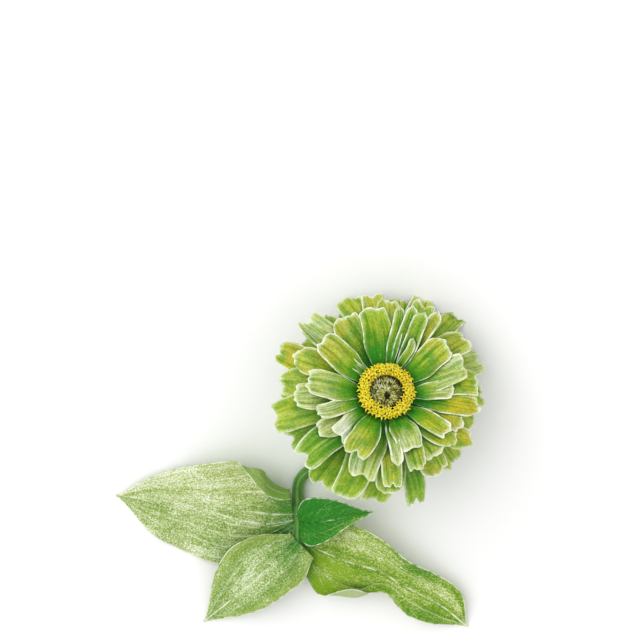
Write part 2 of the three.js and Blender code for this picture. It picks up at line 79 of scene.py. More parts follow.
camera_data = bpy.data.cameras.new("camera")
camera_data.sensor_width = FILM_WIDTH
camera_data.lens = FILM_WIDTH * CAMERA_DISTANCE / (PICTURE_PIXELS * MM_PER_PIXEL)
camera_data.clip_end = 20
camera = bpy.data.objects.new("camera", camera_data)
turned = Matrix(np.stack([picture_right, picture_up, sight], axis=1).tolist()).to_4x4()
camera.matrix_world = Matrix.Translation(camera_place * MM) @ turned
scene = bpy.context.scene
scene.collection.objects.link(camera)
scene.camera = camera
print("lens in mm:", round(camera_data.lens, 1))

# %% [markdown]
# ## Colours and nodes
# A material is a tree of nodes. One function adds a node with its settings, its links and its numbers, and
# one turns a colour as seen on a screen into the linear light that the renderer works in. Plants are
# coloured in thin layers, and the materials here are made the same way, as a painter lays washes: a wash is
# a colour that shows where several patterns meet, such as "near the tip" and "on a vein".


# %% Adding nodes
# short names for the two sorts of node that come most often
MATH = "ShaderNodeMath"
NOISE = "ShaderNodeTexNoise"


def linear(hex_colour):
    shares = [int(hex_colour[i : i + 2], 16) / 255 for i in (1, 3, 5)]
    return tuple(s / 12.92 if s <= 0.04045 else ((s + 0.055) / 1.055) ** 2.4 for s in shares) + (1.0,)


def add(tree, kind, inputs=(), stops=(), **settings):
    """Adds a node. inputs maps a socket to a number, a colour or the socket that feeds it."""
    node = tree.nodes.new(kind)
    for name, value in settings.items():
        setattr(node, name, value)
    for key, value in dict(inputs).items():
        if isinstance(value, bpy.types.NodeSocket):
            tree.links.new(value, node.inputs[key])
        else:
            is_colour = isinstance(value, str) and value.startswith("#")
            node.inputs[key].default_value = linear(value) if is_colour else value
    for place, colour in stops:
        spare = node.color_ramp.elements
        stop = spare[0] if place == 0 else spare[-1] if place == 1 else spare.new(place)
        stop.position = place
        stop.color = linear(colour)
    return node


def overlap(tree, *shares):
    """How strongly several patterns meet in one place: the product of the shares.

    A share is a socket or a number as it stands, or (socket, low, high) for a soft step from 0 at low to 1 at
    high, or (socket, low, high, least, most) for a soft step from least to most.
    """
    met = None
    for share in shares:
        if isinstance(share, tuple):
            value, low, high, *ends = share
            least, most = ends or (0.0, 1.0)
            limits = {0: value, 1: low, 2: high, 3: least, 4: most}
            share = add(tree, "ShaderNodeMapRange", limits, interpolation_type="SMOOTHSTEP").outputs[0]
        met = share if met is None else add(tree, MATH, {0: met, 1: share}, operation="MULTIPLY").outputs[0]
    return met


def wash(tree, base, colour, *shares):
    """Lays a colour over a base, as thickly as the shares overlap."""
    thickness = overlap(tree, *shares)
    return add(tree, "ShaderNodeMix", {0: thickness, 6: base, 7: colour}, data_type="RGBA").outputs[2]


def streaks_along(tree, uv, across, lengthwise, detail):
    """Noise drawn out along a blade: across and lengthwise say how many swings it makes each way."""
    swings = {0: uv, 1: (across, lengthwise, 1.0)}
    drawn = add(tree, "ShaderNodeVectorMath", swings, operation="MULTIPLY").outputs[0]
    return add(tree, NOISE, {"Vector": drawn, "Scale": 1.0, "Detail": detail}).outputs["Fac"]


def new_material(name, roughness, **shader):
    material = bpy.data.materials.new(name)
    material.use_nodes = True
    tree = material.node_tree
    surface = tree.nodes["Principled BSDF"]
    surface.inputs["Roughness"].default_value = roughness
    for socket, value in shader.items():
        surface.inputs[socket.replace("_", " ")].default_value = value
    print(f"material {name}: roughness {roughness}")
    return material, tree, surface


# %% [markdown]
# ## The table and the light
# The drawing stands on bare white paper. A matt white table under one broad soft light from the upper left
# and an even white sky come closest: petals shade each other softly, and the table stays nearly white.

# %% Table and lights
TABLE_SIZE = 6.0
table_mesh = bpy.data.meshes.new("table")
corner = TABLE_SIZE / 2
flat_square = [(-corner, -corner, 0), (corner, -corner, 0), (corner, corner, 0), (-corner, corner, 0)]
table_mesh.from_pydata(flat_square, [], [(0, 1, 2, 3)])
table = bpy.data.objects.new("table", table_mesh)
scene.collection.objects.link(table)
paper_white, paper_tree, paper_surface = new_material("matt_white_board", 0.9)
paper_place = add(paper_tree, "ShaderNodeTexCoord").outputs["Object"]
PAPER_TOOTH = 1.11  # millimetres: the grain of board is finer, and is drawn coarser so that it shows
paper_values = {"Vector": paper_place, "Scale": 1 / (PAPER_TOOTH * MM)}
paper_grain = add(paper_tree, NOISE, paper_values).outputs["Fac"]
paper_tree.links.new(wash(paper_tree, "#fbfbfa", "#ffffff", paper_grain), paper_surface.inputs["Base Color"])
table_mesh.materials.append(paper_white)

SKY_STRENGTH = 0.91
scene.world = bpy.data.worlds.new("studio")
scene.world.use_nodes = True
sky = scene.world.node_tree.nodes["Background"]
sky.inputs["Color"].default_value = linear("#ffffff")
sky.inputs["Strength"].default_value = SKY_STRENGTH


def soft_light(name, place, aim, size, power):
    data = bpy.data.lights.new(name, "AREA")
    data.size = size
    data.energy = power
    lamp = bpy.data.objects.new(name, data)
    direction = Matrix.Translation(place).to_translation() - Matrix.Translation(aim).to_translation()
    lamp.matrix_world = Matrix.Translation(place) @ direction.to_track_quat("Z", "Y").to_matrix().to_4x4()
    scene.collection.objects.link(lamp)
    print(f"{name} light: {power} watts, {size} metres across")


soft_light("window", place=(-0.7, 0.5, 1.2), aim=(0.0, 0.0, 0.02), size=1.1, power=6.3)
scene.view_settings.view_transform = "Standard"

# %% [markdown]
# ## Small rules
# Petals grow alike but never the same. Each gets its own small differences from a number that depends only
# on which petal it is, so the flower comes out the same every time. The solids of the frame were made from
# the same numbers.


# %% Chance, mixing and smooth steps
def chance(index, kind):
    wave = math.sin(index * 127.1 + kind * 311.7) * 43758.5453
    return wave - math.floor(wave)


def swing(index, kind, amount):
    return (2 * chance(index, kind) - 1) * amount


def mix(low, high, share):
    return low + (high - low) * share


def smooth(value, low, high):
    share = np.clip((value - low) / (high - low), 0, 1)
    return share * share * (3 - 2 * share)


def bell(value, middle_value, width):
    return np.exp(-(((value - middle_value) / width) ** 2))


# %% [markdown]
# ## Thin blades
# Petals, bracts and leaves are all thin blades. A grid of points gives the middle surface, and the blade is
# that grid moved half its thickness up and down, closed with a narrow rim. Facts that a material needs,
# such as how far a point is from the edge, are kept on the points.


# %% Blades, tubes and pieces
def blade(middle_points, thickness, facts):
    """A closed blade. Rows run from root to tip, and columns from the left edge to the right."""
    rows, columns = middle_points.shape[:2]
    up = unit(np.cross(np.gradient(middle_points, axis=1), np.gradient(middle_points, axis=0)))
    half = up * np.broadcast_to(thickness, (rows, columns))[..., None] / 2
    points = np.concatenate([(middle_points + half).reshape(-1, 3), (middle_points - half).reshape(-1, 3)])
    count = rows * columns
    index = np.arange(count).reshape(rows, columns)
    top = np.stack([index[:-1, :-1], index[:-1, 1:], index[1:, 1:], index[1:, :-1]], -1).reshape(-1, 4)
    edge = np.concatenate([index[0, :-1], index[:-1, -1], index[-1, :0:-1], index[:0:-1, 0]])
    following = np.roll(edge, -1)
    rim = np.stack([following, edge, edge + count, following + count], -1)
    faces = np.concatenate([top, top[:, ::-1] + count, rim]).tolist()
    doubled = {name: np.concatenate([value.reshape(count, -1)] * 2) for name, value in facts.items()}
    doubled["under"] = np.repeat([[0.0], [1.0]], count, axis=0)
    return {"points": points, "faces": faces, "facts": doubled}


def tube(rings, facts):
    """A closed tube through rings of points, capped by a fan at each end."""
    stations, sides = rings.shape[:2]
    count = stations * sides
    index = np.arange(count).reshape(stations, sides)
    nearby = np.roll(index, -1, axis=1)
    wall = np.stack([index[:-1], nearby[:-1], nearby[1:], index[1:]], -1).reshape(-1, 4).tolist()
    first = [[count, nearby[0, j], index[0, j]] for j in range(sides)]
    last = [[count + 1, index[-1, j], nearby[-1, j]] for j in range(sides)]
    ends = np.stack([rings[0].mean(0), rings[-1].mean(0)])
    points = np.concatenate([rings.reshape(-1, 3), ends])
    filled = {}
    for name, value in facts.items():
        flat = value.reshape(count, -1)
        filled[name] = np.concatenate([flat, flat[:sides].mean(0)[None], flat[-sides:].mean(0)[None]])
    return {"points": points, "faces": wall + first + last, "facts": filled}


def link_piece(name, mesh, node):
    made = bpy.data.objects.new(name, mesh)
    scene.collection.objects.link(made)
    mesh.polygons.foreach_set("use_smooth", [True] * len(mesh.polygons))
    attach(made, "root")
    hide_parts(node)
    print(f"{name}: {len(mesh.polygons)} faces")
    return made


def joined(parts):
    """The points and the faces of several parts, in one list each."""
    faces = []
    start = 0
    for part in parts:
        faces += [[point + start for point in face] for face in part["faces"]]
        start += len(part["points"])
    return np.concatenate([part["points"] for part in parts]), faces


def mesh_of(name, parts):
    """One mesh from several parts in millimetres, with their facts as attributes and "along" as a UV map."""
    points, faces = joined(parts)
    mesh = bpy.data.meshes.new(name)
    mesh.from_pydata((points * MM).tolist(), [], faces)
    for fact in parts[0]["facts"]:
        values = np.concatenate([part["facts"][fact] for part in parts])
        if fact == "along":
            corners = np.empty(len(mesh.loops), dtype=np.int32)
            mesh.loops.foreach_get("vertex_index", corners)
            mesh.uv_layers.new(name=fact).data.foreach_set("uv", values[corners].ravel())
        elif values.shape[1] == 3:
            mesh.attributes.new(fact, "FLOAT_VECTOR", "POINT").data.foreach_set("vector", values.ravel())
        else:
            mesh.attributes.new(fact, "FLOAT", "POINT").data.foreach_set("value", values.ravel())
    return mesh


def piece(name, parts, material, node):
    mesh = mesh_of(name, parts)
    mesh.materials.append(material)
    return link_piece(name, mesh, node)


# %% [markdown]
# ### How hidden a point is
# Where petals and leaves lie close over each other, the materials paint shade there: painted shade deepens
# the green under them, and the bleached dusting and the cream line fade. So every point of a blade gets a
# number for how much of the space above it is filled by its neighbours. A fan of straight lines is followed
# from the point outwards for a few millimetres, and the share that meets something is kept for the material.


# %% The share of the near space that is filled
FAN_LINES = 12
CLEAR_OF_ITSELF = 0.12  # millimetres: the lines start this far above the blade
FAR_LOSS = 0.6  # what is met at the far end of a line counts this much less


def fan_of_lines(count):
    """Directions spread evenly over a half ball, more of them near its top."""
    turns = np.arange(count) * math.pi * (3 - math.sqrt(5))
    out = np.sqrt((np.arange(count) + 0.5) / count)
    return np.stack([out * np.cos(turns), out * np.sin(turns), np.sqrt(1 - out**2)], -1)


def note_hidden(parts, neighbours, grid, reach):
    """Adds the fact "hidden" to blades, for painted shade. Only their upper sides are tried, and near things
    count for more.
    """
    points, faces = joined(neighbours)
    filled = BVHTree.FromPolygons(points.tolist(), faces)
    fan = fan_of_lines(FAN_LINES)
    rows, columns = grid
    count = rows * columns
    for part in parts:
        top = part["points"][:count].reshape(rows, columns, 3)
        up = unit(np.cross(np.gradient(top, axis=1), np.gradient(top, axis=0)) + 1e-9)
        first = unit(np.cross(up, [0.31, 0.2, 0.93]) + 1e-9)
        second = np.cross(up, first)
        origins = (top + up * CLEAR_OF_ITSELF).reshape(-1, 3).tolist()
        share = np.zeros((rows, columns))
        for a, b, c in fan:
            lines = (a * first + b * second + c * up).reshape(-1, 3).tolist()
            met = [filled.ray_cast(origin, line, reach)[3] for origin, line in zip(origins, lines)]
            met = [0.0 if far is None else 1 - FAR_LOSS * far / reach for far in met]
            share += np.array(met).reshape(rows, columns)
        share /= len(fan)
        part["facts"]["hidden"] = np.concatenate([share.reshape(count, 1), np.zeros((count, 1))])


# %% [markdown]
# ## The bloom's own frame
# The bloom leans on its far petals, so its face looks up and to the far right. Everything in it is made
# round its own axis, with its foot at zero, and then turned and moved to its place on the table.

# %% Axes of the bloom
FOOT_HEIGHT = 17.0
LEAN = math.radians(32)
LEAN_AZIMUTH = math.radians(60)
lean_to = np.array([math.cos(LEAN_AZIMUTH), math.sin(LEAN_AZIMUTH), 0.0])
head_up = np.array([0.0, 0.0, math.cos(LEAN)]) + math.sin(LEAN) * lean_to
head_right = unit(np.array([1.0, 0.0, 0.0]) - head_up * head_up[0])
head_far = np.cross(head_up, head_right)
foot = np.array([0.0, 0.0, FOOT_HEIGHT])
head_axes = np.stack([head_right, head_far, head_up])
print("the bloom faces along", head_up.round(2))


def in_place(points):
    """From the bloom's frame to the table, in millimetres."""
    return points @ head_axes + foot + PLAN_SHIFT


# %% [markdown]
# ## Ray petals
# A double zinnia has whorl upon whorl of strap petals. Each rises from the head on a narrow claw, widens to
# a blunt tip with shallow lobes, and droops more the lower its whorl. The middle line is followed in short
# steps with a slope that falls from the root to the tip. The cross-section is a shallow channel with a few
# long ridges, and the tip is rippled. Each row below gives a petal's turn round the bloom in degrees, its
# length, its width, and a letter for its colouring.

# %% Sizes of the petals
ROOT_RADIUS = 8.8
ROOT_RUN = 2.6
NARROW = 7
NARROW_FOLD = 0.3
PRESSED = 0.1
WHORLS = {
    "petals_rolled": (
        (18.2, 50, 26),
        [(68, 20, 3.4, "p"), (137, 15.5, 2.6, "p"), (143, 16, 4, "w")],
    ),
    "petals_inner": (
        (18.5, 42, 4),
        [
            (7, 21.5, 8, "w"), (22, 29.5, 11.6, "w"), (42, 27.5, 12, "o"), (63, 35, 5.8, "y"),
            (69, 31.5, 6.6, "d"), (79, 32.5, 5.8, "d"), (88, 31, 5.4, "d"), (105, 30.5, 12.6, "s"),
            (150, 32.5, 12, "o"), (183, 30.5, 11.4, "m"), (204, 28.5, 7, "w"), (227, 25, 11.4, "W"),
            (247, 28.9, 12, "o"), (278, 27, 5.2, "w"), (295, 21, 11.8, "w"), (329, 24.5, 8, "y"),
        ],
    ),
    "petals_second": (
        (18.2, 26, -12),
        [
            (14, 32.5, 11.5, "y"), (41, 37, 12, "o"), (71, 37.5, 10, "d"), (95, 35, 11.5, "o"),
            (125, 31, 13.8, "o"), (161, 35.5, 12, "o"), (186, 33, 11.4, "w"), (218, 27, 9.5, "w"),
            (256, 32, 13, "w"), (275, 34.5, 9, "o"), (299, 28, 9, "p"), (314, 26.5, 10.5, "p"),
            (325, 28.5, 10, "o"), (343, 27.5, 10, "y"), (355, 33, 9.4, "Y"),
        ],
    ),
    "petals_third": (
        (17.9, 11, -32),
        [
            (29, 42, 12.4, "m"), (52, 47.5, 9.6, "p"), (72, 44, 11, "o"), (86, 40.5, 11, "d"),
            (100, 40.5, 11, "o"), (112, 42, 12.6, "o"), (137, 41, 12.8, "w"), (161, 45, 12.6, "y"),
            (178, 38, 13.4, "p"), (196, 42.5, 14.4, "p"), (223, 39.5, 13.4, "D"), (253, 41.5, 13.2, "d"),
            (276, 36, 12.6, "d"), (311, 33.5, 12.6, "o"), (336, 35, 10.6, "y"), (8, 38, 11, "d"),
        ],
    ),
    "petals_outer": (
        (17.4, -4, -46),
        [
            (18, 42, 13, "p"), (42, 40, 13, "p"), (66, 41.5, 13, "d"), (88, 40.5, 13, "d"),
            (121, 41, 13, "p"), (146, 39, 13, "p"), (179, 39.5, 13, "d"), (209, 39.5, 13.6, "D"),
            (239, 41.5, 13.6, "d"), (271, 40.5, 13, "d"), (294, 43, 9.4, "D"), (328, 39, 12.6, "p"),
            (353, 36.5, 12.6, "p"),
        ],
    ),
}
# How yellow, how white and how deep green a petal is, by its letter.
LOOKS = {
    "p": (0.3, 0.08, 0.2),
    "d": (0.1, 0.03, 0.6),
    "D": (0.0, 0.05, 1.0),
    "s": (0.3, 0.02, 0.75),
    "o": (0.6, 0.1, 0.05),
    "y": (0.9, 0.06, 0.0),
    "Y": (1.0, 0.03, 0.0),
    "w": (0.35, 0.45, 0.1),
    "W": (0.15, 1.0, 0.0),
    "m": (0.35, 0.32, 0.05),
}
# Whorl by whorl: how plain the cream line along the edge is, and how far out from the claw the painted shade,
# a deep green, reaches: farther on the lower whorls, which lie under the others.
WHORL_LOOKS = {
    "petals_rolled": (0.6, 0.3),
    "petals_inner": (1.0, 0.1),
    "petals_second": (0.9, 0.3),
    "petals_third": (0.75, 0.42),
    "petals_outer": (0.5, 0.5),
}
RIDING = 0.3  # in a whorl every other petal rides over its two neighbours by this much
RIDING_RISE = 1.5  # and rises by this many degrees more
print("petals:", sum(len(rows) for _, rows in WHORLS.values()))

# %% [markdown]
# The grid is finer near the edges and the tip, where the pale rim and the lobes are.

# %% Shape of one petal
along_shares = np.concatenate([np.linspace(0, 0.86, 31), [0.885, 0.91, 0.93, 0.95, 0.967, 0.983, 1.0]])
inner_shares = np.linspace(0, 0.84, 9)
half_shares = np.concatenate([inner_shares, [0.89, 0.93, 0.97, 1.0]])
across_shares = np.concatenate([-half_shares[:0:-1], half_shares])
PETAL_BODY = 0.5  # thickness in the middle
PETAL_EDGE = 0.32
PETAL_OVERLAP = 1.04
PETAL_STEPS = 16
print("points on one side of a petal:", len(along_shares) * len(across_shares))


def petal_part(number, over, shape, row, rim, shade):
    height, rise, fall = shape
    turn, length, width, look = row
    s, w = np.meshgrid(along_shares, -across_shares, indexing="ij")
    height += swing(number, 2, 0.15) + over * RIDING
    rise = math.radians(rise + swing(number, 3, 4) + over * RIDING_RISE)
    fall = math.radians(fall + swing(number, 4, 7))
    narrow = width < NARROW
    channel = mix(0.1, 0.34, chance(number, 9)) + (NARROW_FOLD if narrow else 0)
    notch = mix(0.02, 0.07, chance(number, 11)) if chance(number, 10) < 0.6 and not narrow else -0.02

    # the outline: a blunt tip with a notch, a few shallow lobes and a gently uneven side
    bluntness = chance(number, 41)
    lobes = swing(number, 31, 0.03) * np.sin(4.4 * w + 6 * chance(number, 32))
    lobes += swing(number, 33, 0.014) * np.sin(11 * w + 6 * chance(number, 34))
    lobes *= 0 if narrow else 1
    corners = 0.02 if narrow else mix(0.03, 0.08, bluntness)
    tip = 1 + s * s * (-corners * w * w - notch * bell(w, 0, 0.35)) + s**6 * lobes
    reach = s * tip
    claw = mix(0.45, 1, smooth(s, 0.02, 0.5)) if narrow else mix(0.4, 1, smooth(s, 0.0, 0.56))
    rounded = np.sqrt(1 - 0.8 * np.maximum(0, (s - 0.89) / 0.11) ** 2)
    blunt = 1 - mix(0.08, 0.24, bluntness) * np.maximum(0, (s - 0.8) / 0.2) ** 2.5
    shoulder = rounded if narrow else blunt
    start = 6 * chance(number, 35) + np.sign(w) * (1 + chance(number, 42))
    uneven = 1 + 0.11 * s * np.sin(7.5 * s + start)
    half = 0.5 * PETAL_OVERLAP * width * claw * shoulder * uneven

    # the middle line, followed from the root in short steps
    step = length * reach / PETAL_STEPS
    radius = np.full_like(s, ROOT_RADIUS)
    level = np.full_like(s, height)
    for i in range(PETAL_STEPS):
        share = (i + 0.5) / PETAL_STEPS * reach
        slope = mix(rise, fall, share**1.1) * smooth(share * length, 0, ROOT_RUN)
        radius += step * np.cos(slope)
        level += step * np.sin(slope)
    slope = mix(rise, fall, reach**1.1)

    # the cross-section: a channel, long ridges, a rolled edge and a rippled tip
    twist = swing(number, 7, 0.22) * s * s
    cup = channel * half * w * w * (1 - 0.6 * s) * smooth(s, 0.02, 0.25) - 0.1 * half * s * s
    ripple = 0.09 * half * s * swing(number, 12, 1) * np.sin(3.1 * w + 5 * s)
    frill = 0 if narrow else 0.05 * half * s**4 * np.sin(8 * w + 6 * chance(number, 36))
    ridges = 0.11 * smooth(s, 0.05, 0.3) * np.cos(2 * math.pi * w * 2.5) * (1 - np.abs(w) ** 3)
    rolled = -0.06 * half * smooth(np.abs(w), 0.8, 1.0) * smooth(s, 0.1, 0.4)
    bend = swing(number, 8, 1.6) * s * s + swing(number, 43, 1.2) * np.sin(2 * math.pi * s) * s
    sideways = half * w * np.cos(twist) + bend
    lift = half * w * np.sin(twist) + cup + ripple + frill + ridges + rolled

    angle = math.radians(turn)
    out = radius - lift * np.sin(slope)
    up = level + lift * np.cos(slope)
    local = [
        out * math.cos(angle) - sideways * math.sin(angle),
        out * math.sin(angle) + sideways * math.cos(angle),
        up,
    ]
    middle_points = in_place(np.stack(local, -1))
    middle_points[..., 2] = np.maximum(middle_points[..., 2], PRESSED)
    to_edge = np.minimum(half * (1 - np.abs(w)), length * (1 - s) * 0.9)
    # painted shade: the claw, farther out on the lower whorls, and one side of each petal, as if a neighbour
    # lay over it
    shaded_side = 1 if chance(number, 44) < 0.5 else -1
    side_shade = mix(0.2, 0.75, chance(number, 45)) * smooth(shaded_side * w, 0.1, 0.9)
    facts = {
        "along": np.stack([(w + 1) / 2 + number, s], -1),
        "to_edge": to_edge,
        "look": np.broadcast_to(np.array(LOOKS[look]), s.shape + (3,)),
        "rim": np.full_like(s, rim),
        "shade": np.maximum(smooth(s, shade + 0.3, shade - 0.15), side_shade * smooth(s, 1.0, 0.55)),
    }
    part = blade(middle_points, mix(PETAL_BODY, PETAL_EDGE, np.abs(w) ** 4), facts)
    part["points"][:, 2] = np.maximum(part["points"][:, 2], 0)
    return part


# %% [markdown]
# ### The petals' finish
# A zinnia petal is soft and matt with fine parallel veins. The colour runs from a deep green claw through
# olive to a paler tip, and a cream line follows the edge. The claws and the gaps between petals are darkened
# further with painted shade. The tips are dusted white in streaks. The streaks run with the veins: they read
# the UV map, which runs across and along every petal, so they follow its bends. Veins on a real petal are
# about half a millimetre apart, and its grain is finer still. Both are too fine to show in the picture, so
# the streaks are drawn about 1.7 and 0.8 millimetres wide, and the grain 0.9.

# %% What the petals' material reads
petal_green, tree, surface = new_material("zinnia_petal", 0.6, Specular_IOR_Level=0.12)
along = add(tree, "ShaderNodeUVMap", uv_map="along").outputs["UV"]
share_along = add(tree, "ShaderNodeSeparateXYZ", {0: along}).outputs["Y"]
look = add(tree, "ShaderNodeAttribute", attribute_name="look").outputs["Vector"]
yellow, white, deep = add(tree, "ShaderNodeSeparateXYZ", {0: look}).outputs
rim_share, under, to_edge, shade, hidden = (
    add(tree, "ShaderNodeAttribute", attribute_name=fact).outputs["Fac"]
    for fact in ("rim", "under", "to_edge", "shade", "hidden")
)
place = add(tree, "ShaderNodeTexCoord").outputs["Object"]
veins = streaks_along(tree, along, 7.0, 1.1, 2.0)
strokes = streaks_along(tree, along, 15.0, 2.6, 2.0)
# how large the patches of each pattern are, in millimetres, and how broken up
PETAL_PATCHES = {"mottle": (5.88, 2.0), "grain": (0.87, 3.0), "cloudy": (13.33, 1.0), "breaks": (5.0, 2.0)}
mottle, grain, cloudy, breaks = (
    add(tree, NOISE, {"Vector": place, "Scale": 1 / (size * MM), "Detail": detail}).outputs["Fac"]
    for size, detail in PETAL_PATCHES.values()
)
print("patches on a petal, in mm:", {name: size for name, (size, _) in PETAL_PATCHES.items()})

# %% The petals' own green, from claw to tip, with painted shade at the claws
shifted = add(tree, MATH, {0: mottle, 1: 0.9, 2: -0.45}, operation="MULTIPLY_ADD").outputs[0]
ramp_place = add(tree, MATH, {0: share_along, 1: shifted}, operation="ADD").outputs[0]
PETAL_GREENS = [
    (0, "#1c7a1c"),
    (0.2, "#35901c"),
    (0.38, "#559a1a"),
    (0.6, "#72a01a"),
    (0.82, "#88ac24"),
    (1, "#a0bf36"),
]
body = add(tree, "ShaderNodeValToRGB", {0: ramp_place}, stops=PETAL_GREENS).outputs[0]
body = wash(tree, body, "#2c8a20", deep, (share_along, 0.35, 0.95, 1.0, 0.25))
yellowed = overlap(tree, yellow, (share_along, 0.3, 0.75))
body = wash(tree, body, "#c2c012", yellowed, (mottle, 0.35, 0.62))
body = wash(tree, body, "#b8a622", yellowed, (cloudy, 0.48, 0.62, 0.0, 0.55))
body = wash(tree, body, "#bed24a", (veins, 0.5, 0.68, 0.0, 0.4), (share_along, 0.3, 0.75))
body = wash(tree, body, "#c0d45a", (strokes, 0.52, 0.7, 0.0, 0.3))
body = wash(tree, body, "#3f8414", (veins, 0.48, 0.34, 0.0, 0.5))
body = wash(tree, body, "#3f7d14", (strokes, 0.47, 0.32, 0.0, 0.35))
# painted shade at the claws and along one side of each petal, where neighbours would cover it
body = wash(tree, body, "#156018", shade, (veins, 0.25, 0.65, 0.75, 0.4))

# %% White streaks, painted shade in the gaps, and the cream line
# painted shade: where neighbours cover a petal, the white dusting, the white tips and the cream edge fade
open_share = overlap(tree, (hidden, 0.58, 0.22))
whitened = overlap(tree, white, (share_along, 0.34, 0.85), open_share)
body = wash(tree, body, "#f6f6e8", whitened, (veins, 0.4, 0.6, 0.2, 1.0), (strokes, 0.38, 0.58, 0.45, 1.0))
body = wash(tree, body, "#eef0e0", (whitened, 0.6, 1.0, 0.0, 0.5))
# painted shade in the gaps under the neighbours
body = wash(tree, body, "#236c1a", (hidden, 0.08, 0.44, 0.0, 0.9), (strokes, 0.3, 0.65, 1.0, 0.7))
near_tip = overlap(tree, (share_along, 0.76, 1.0), (to_edge, 2.4, 0.2), rim_share, open_share)
body = wash(tree, body, "#f8fae8", near_tip, (strokes, 0.38, 0.6, 0.3, 0.95), (cloudy, 0.35, 0.6, 0.3, 1.0))
near_edge = overlap(tree, (to_edge, 1.5, 0.4), rim_share, open_share, (share_along, 0.25, 0.7))
body = wash(tree, body, "#d5e390", near_edge, 0.42)
grained = {0: 0.16, 6: body, 7: overlap(tree, (grain, 0.34, 0.66))}
body = add(tree, "ShaderNodeMix", grained, data_type="RGBA", blend_type="OVERLAY").outputs[2]
widening = overlap(tree, (share_along, 0.3, 0.95, 0.62, 1.0), (cloudy, 0.3, 0.7, 0.75, 1.25))
rim_reach = add(tree, MATH, {0: to_edge, 1: widening}, operation="DIVIDE").outputs[0]
# the cream line breaks up at random, fades near the claw, and fades where neighbours cover it: painted shade
broken = overlap(
    tree,
    (share_along, 0.1, 0.5, 0.3, 1.0),
    (breaks, 0.4, 0.56, 0.2, 1.0),
    (hidden, 0.55, 0.2, 0.4, 1.0),
)
body = wash(tree, body, "#f7f9e6", (rim_reach, 0.72, 0.36), broken, rim_share)
body = wash(tree, body, "#9db564", under, 0.5)
tree.links.new(body, surface.inputs["Base Color"])
bumps = add(tree, "ShaderNodeBump", {"Strength": 0.5, "Distance": 0.2 * MM, "Height": veins})
tree.links.new(bumps.outputs[0], surface.inputs["Normal"])

# %% Make the petals
number = 0
petals = {}
for name, (shape, rows) in WHORLS.items():
    petals[name] = []
    for row in rows:
        number += 1
        over = 1 if len(petals[name]) % 2 == 0 else -1
        petals[name].append(petal_part(number, over, shape, row, *WHORL_LOOKS[name]))
all_petals = [part for parts in petals.values() for part in parts]
petal_grid = (len(along_shares), len(across_shares))
PETAL_REACH = 6  # millimetres of the space above a petal
# how much the neighbours cover each petal, for the petals' painted shade
note_hidden(all_petals, all_petals, petal_grid, PETAL_REACH)
hidden_mean = np.mean([part["facts"]["hidden"] for part in all_petals])
print("how hidden the petals are, on average:", round(float(hidden_mean), 2))
for name, parts in petals.items():
    piece(name, parts, petal_green, "ray_petals")

# %% [markdown]
# The petals stand on a round plate, the top of the flower head. It is a turned shape: a profile of radius
# and height, carried round the axis.


# %% The plate that carries the petals
def turned_rings(profile, sides):
    angles = np.arange(sides) * 2 * math.pi / sides
    circle = np.stack([np.cos(angles), np.sin(angles)], -1)
    return np.array([[[r * x, r * y, z] for x, y in circle] for r, z in profile])


def plain_facts(rings, **values):
    """Facts that are the same all over a turned shape. Each is a number or a few numbers."""
    return {fact: np.broadcast_to(value, rings.shape[:2] + np.shape(value)) for fact, value in values.items()}


PLATE = [
    (7.6, 15.8), (7.9, 16.7), (9.2, 16.7), (10.4, 16.7),
    (10.8, 17.4), (10.8, 18.2), (9.9, 19.9), (4, 19.9),
]
plate_rings = turned_rings(PLATE, 72)
# the plate lies under the petals, so it gets full painted shade: the darkest claw green and half cover
claw_in_shade = {"along": (0.0, 0.12), "to_edge": 3.0, "look": (0.0, 0.0, 0.0), "rim": 0.0, "shade": 1.0}
plate_part = tube(plate_rings, plain_facts(plate_rings, **claw_in_shade, hidden=0.5))
plate_part["points"] = in_place(plate_part["points"])
piece("petal_plate", [plate_part], petal_green, "ray_petals")

# %% [markdown]
# ## The disc
# The middle of the head is a low dome of chaffy scales and unopened florets. They are packed in the spiral
# that daisies follow: each next scale turns by the golden angle and steps a little outwards. That is a
# rule, so Geometry Nodes place the scales: a tree makes the points, turns each scale outwards from the dark
# eye, and keeps a random number for its colour. The tree works in millimetres round the bloom's axis.


# %% Node trees that repeat a shape
def start_tree(name, sizes):
    group = bpy.data.node_groups.new(name, "GeometryNodeTree")
    group.interface.new_socket("Geometry", in_out="INPUT", socket_type="NodeSocketGeometry")
    for label, kind in sizes.items():
        group.interface.new_socket(label, in_out="INPUT", socket_type=f"NodeSocket{kind}")
    group.interface.new_socket("Geometry", in_out="OUTPUT", socket_type="NodeSocketGeometry")
    return group, add(group, "NodeGroupInput").outputs


def end_tree(group, instances, given):
    """Every tree ends alike: plain mesh, then its material."""
    plain = add(group, "GeometryNodeRealizeInstances", {0: instances})
    finished = add(group, "GeometryNodeSetMaterial", {0: plain.outputs[0], 2: given["Material"]})
    add(group, "NodeGroupOutput", {0: finished.outputs[0]})
    print(f"tree {group.name}: {len(group.nodes)} nodes")


def grow(group, base_mesh, values):
    """Runs a tree on a mesh and gives back the result as a plain mesh."""
    holder = bpy.data.objects.new(group.name, base_mesh)
    scene.collection.objects.link(holder)
    modifier = holder.modifiers.new("grow", "NODES")
    modifier.node_group = group
    for item in group.interface.items_tree:
        if item.in_out == "INPUT" and item.name in values:
            modifier[item.identifier] = values[item.name]
    graph = bpy.context.evaluated_depsgraph_get()
    made = bpy.data.meshes.new_from_object(
        holder.evaluated_get(graph), preserve_all_data_layers=True, depsgraph=graph
    )
    bpy.data.objects.remove(holder)
    return made


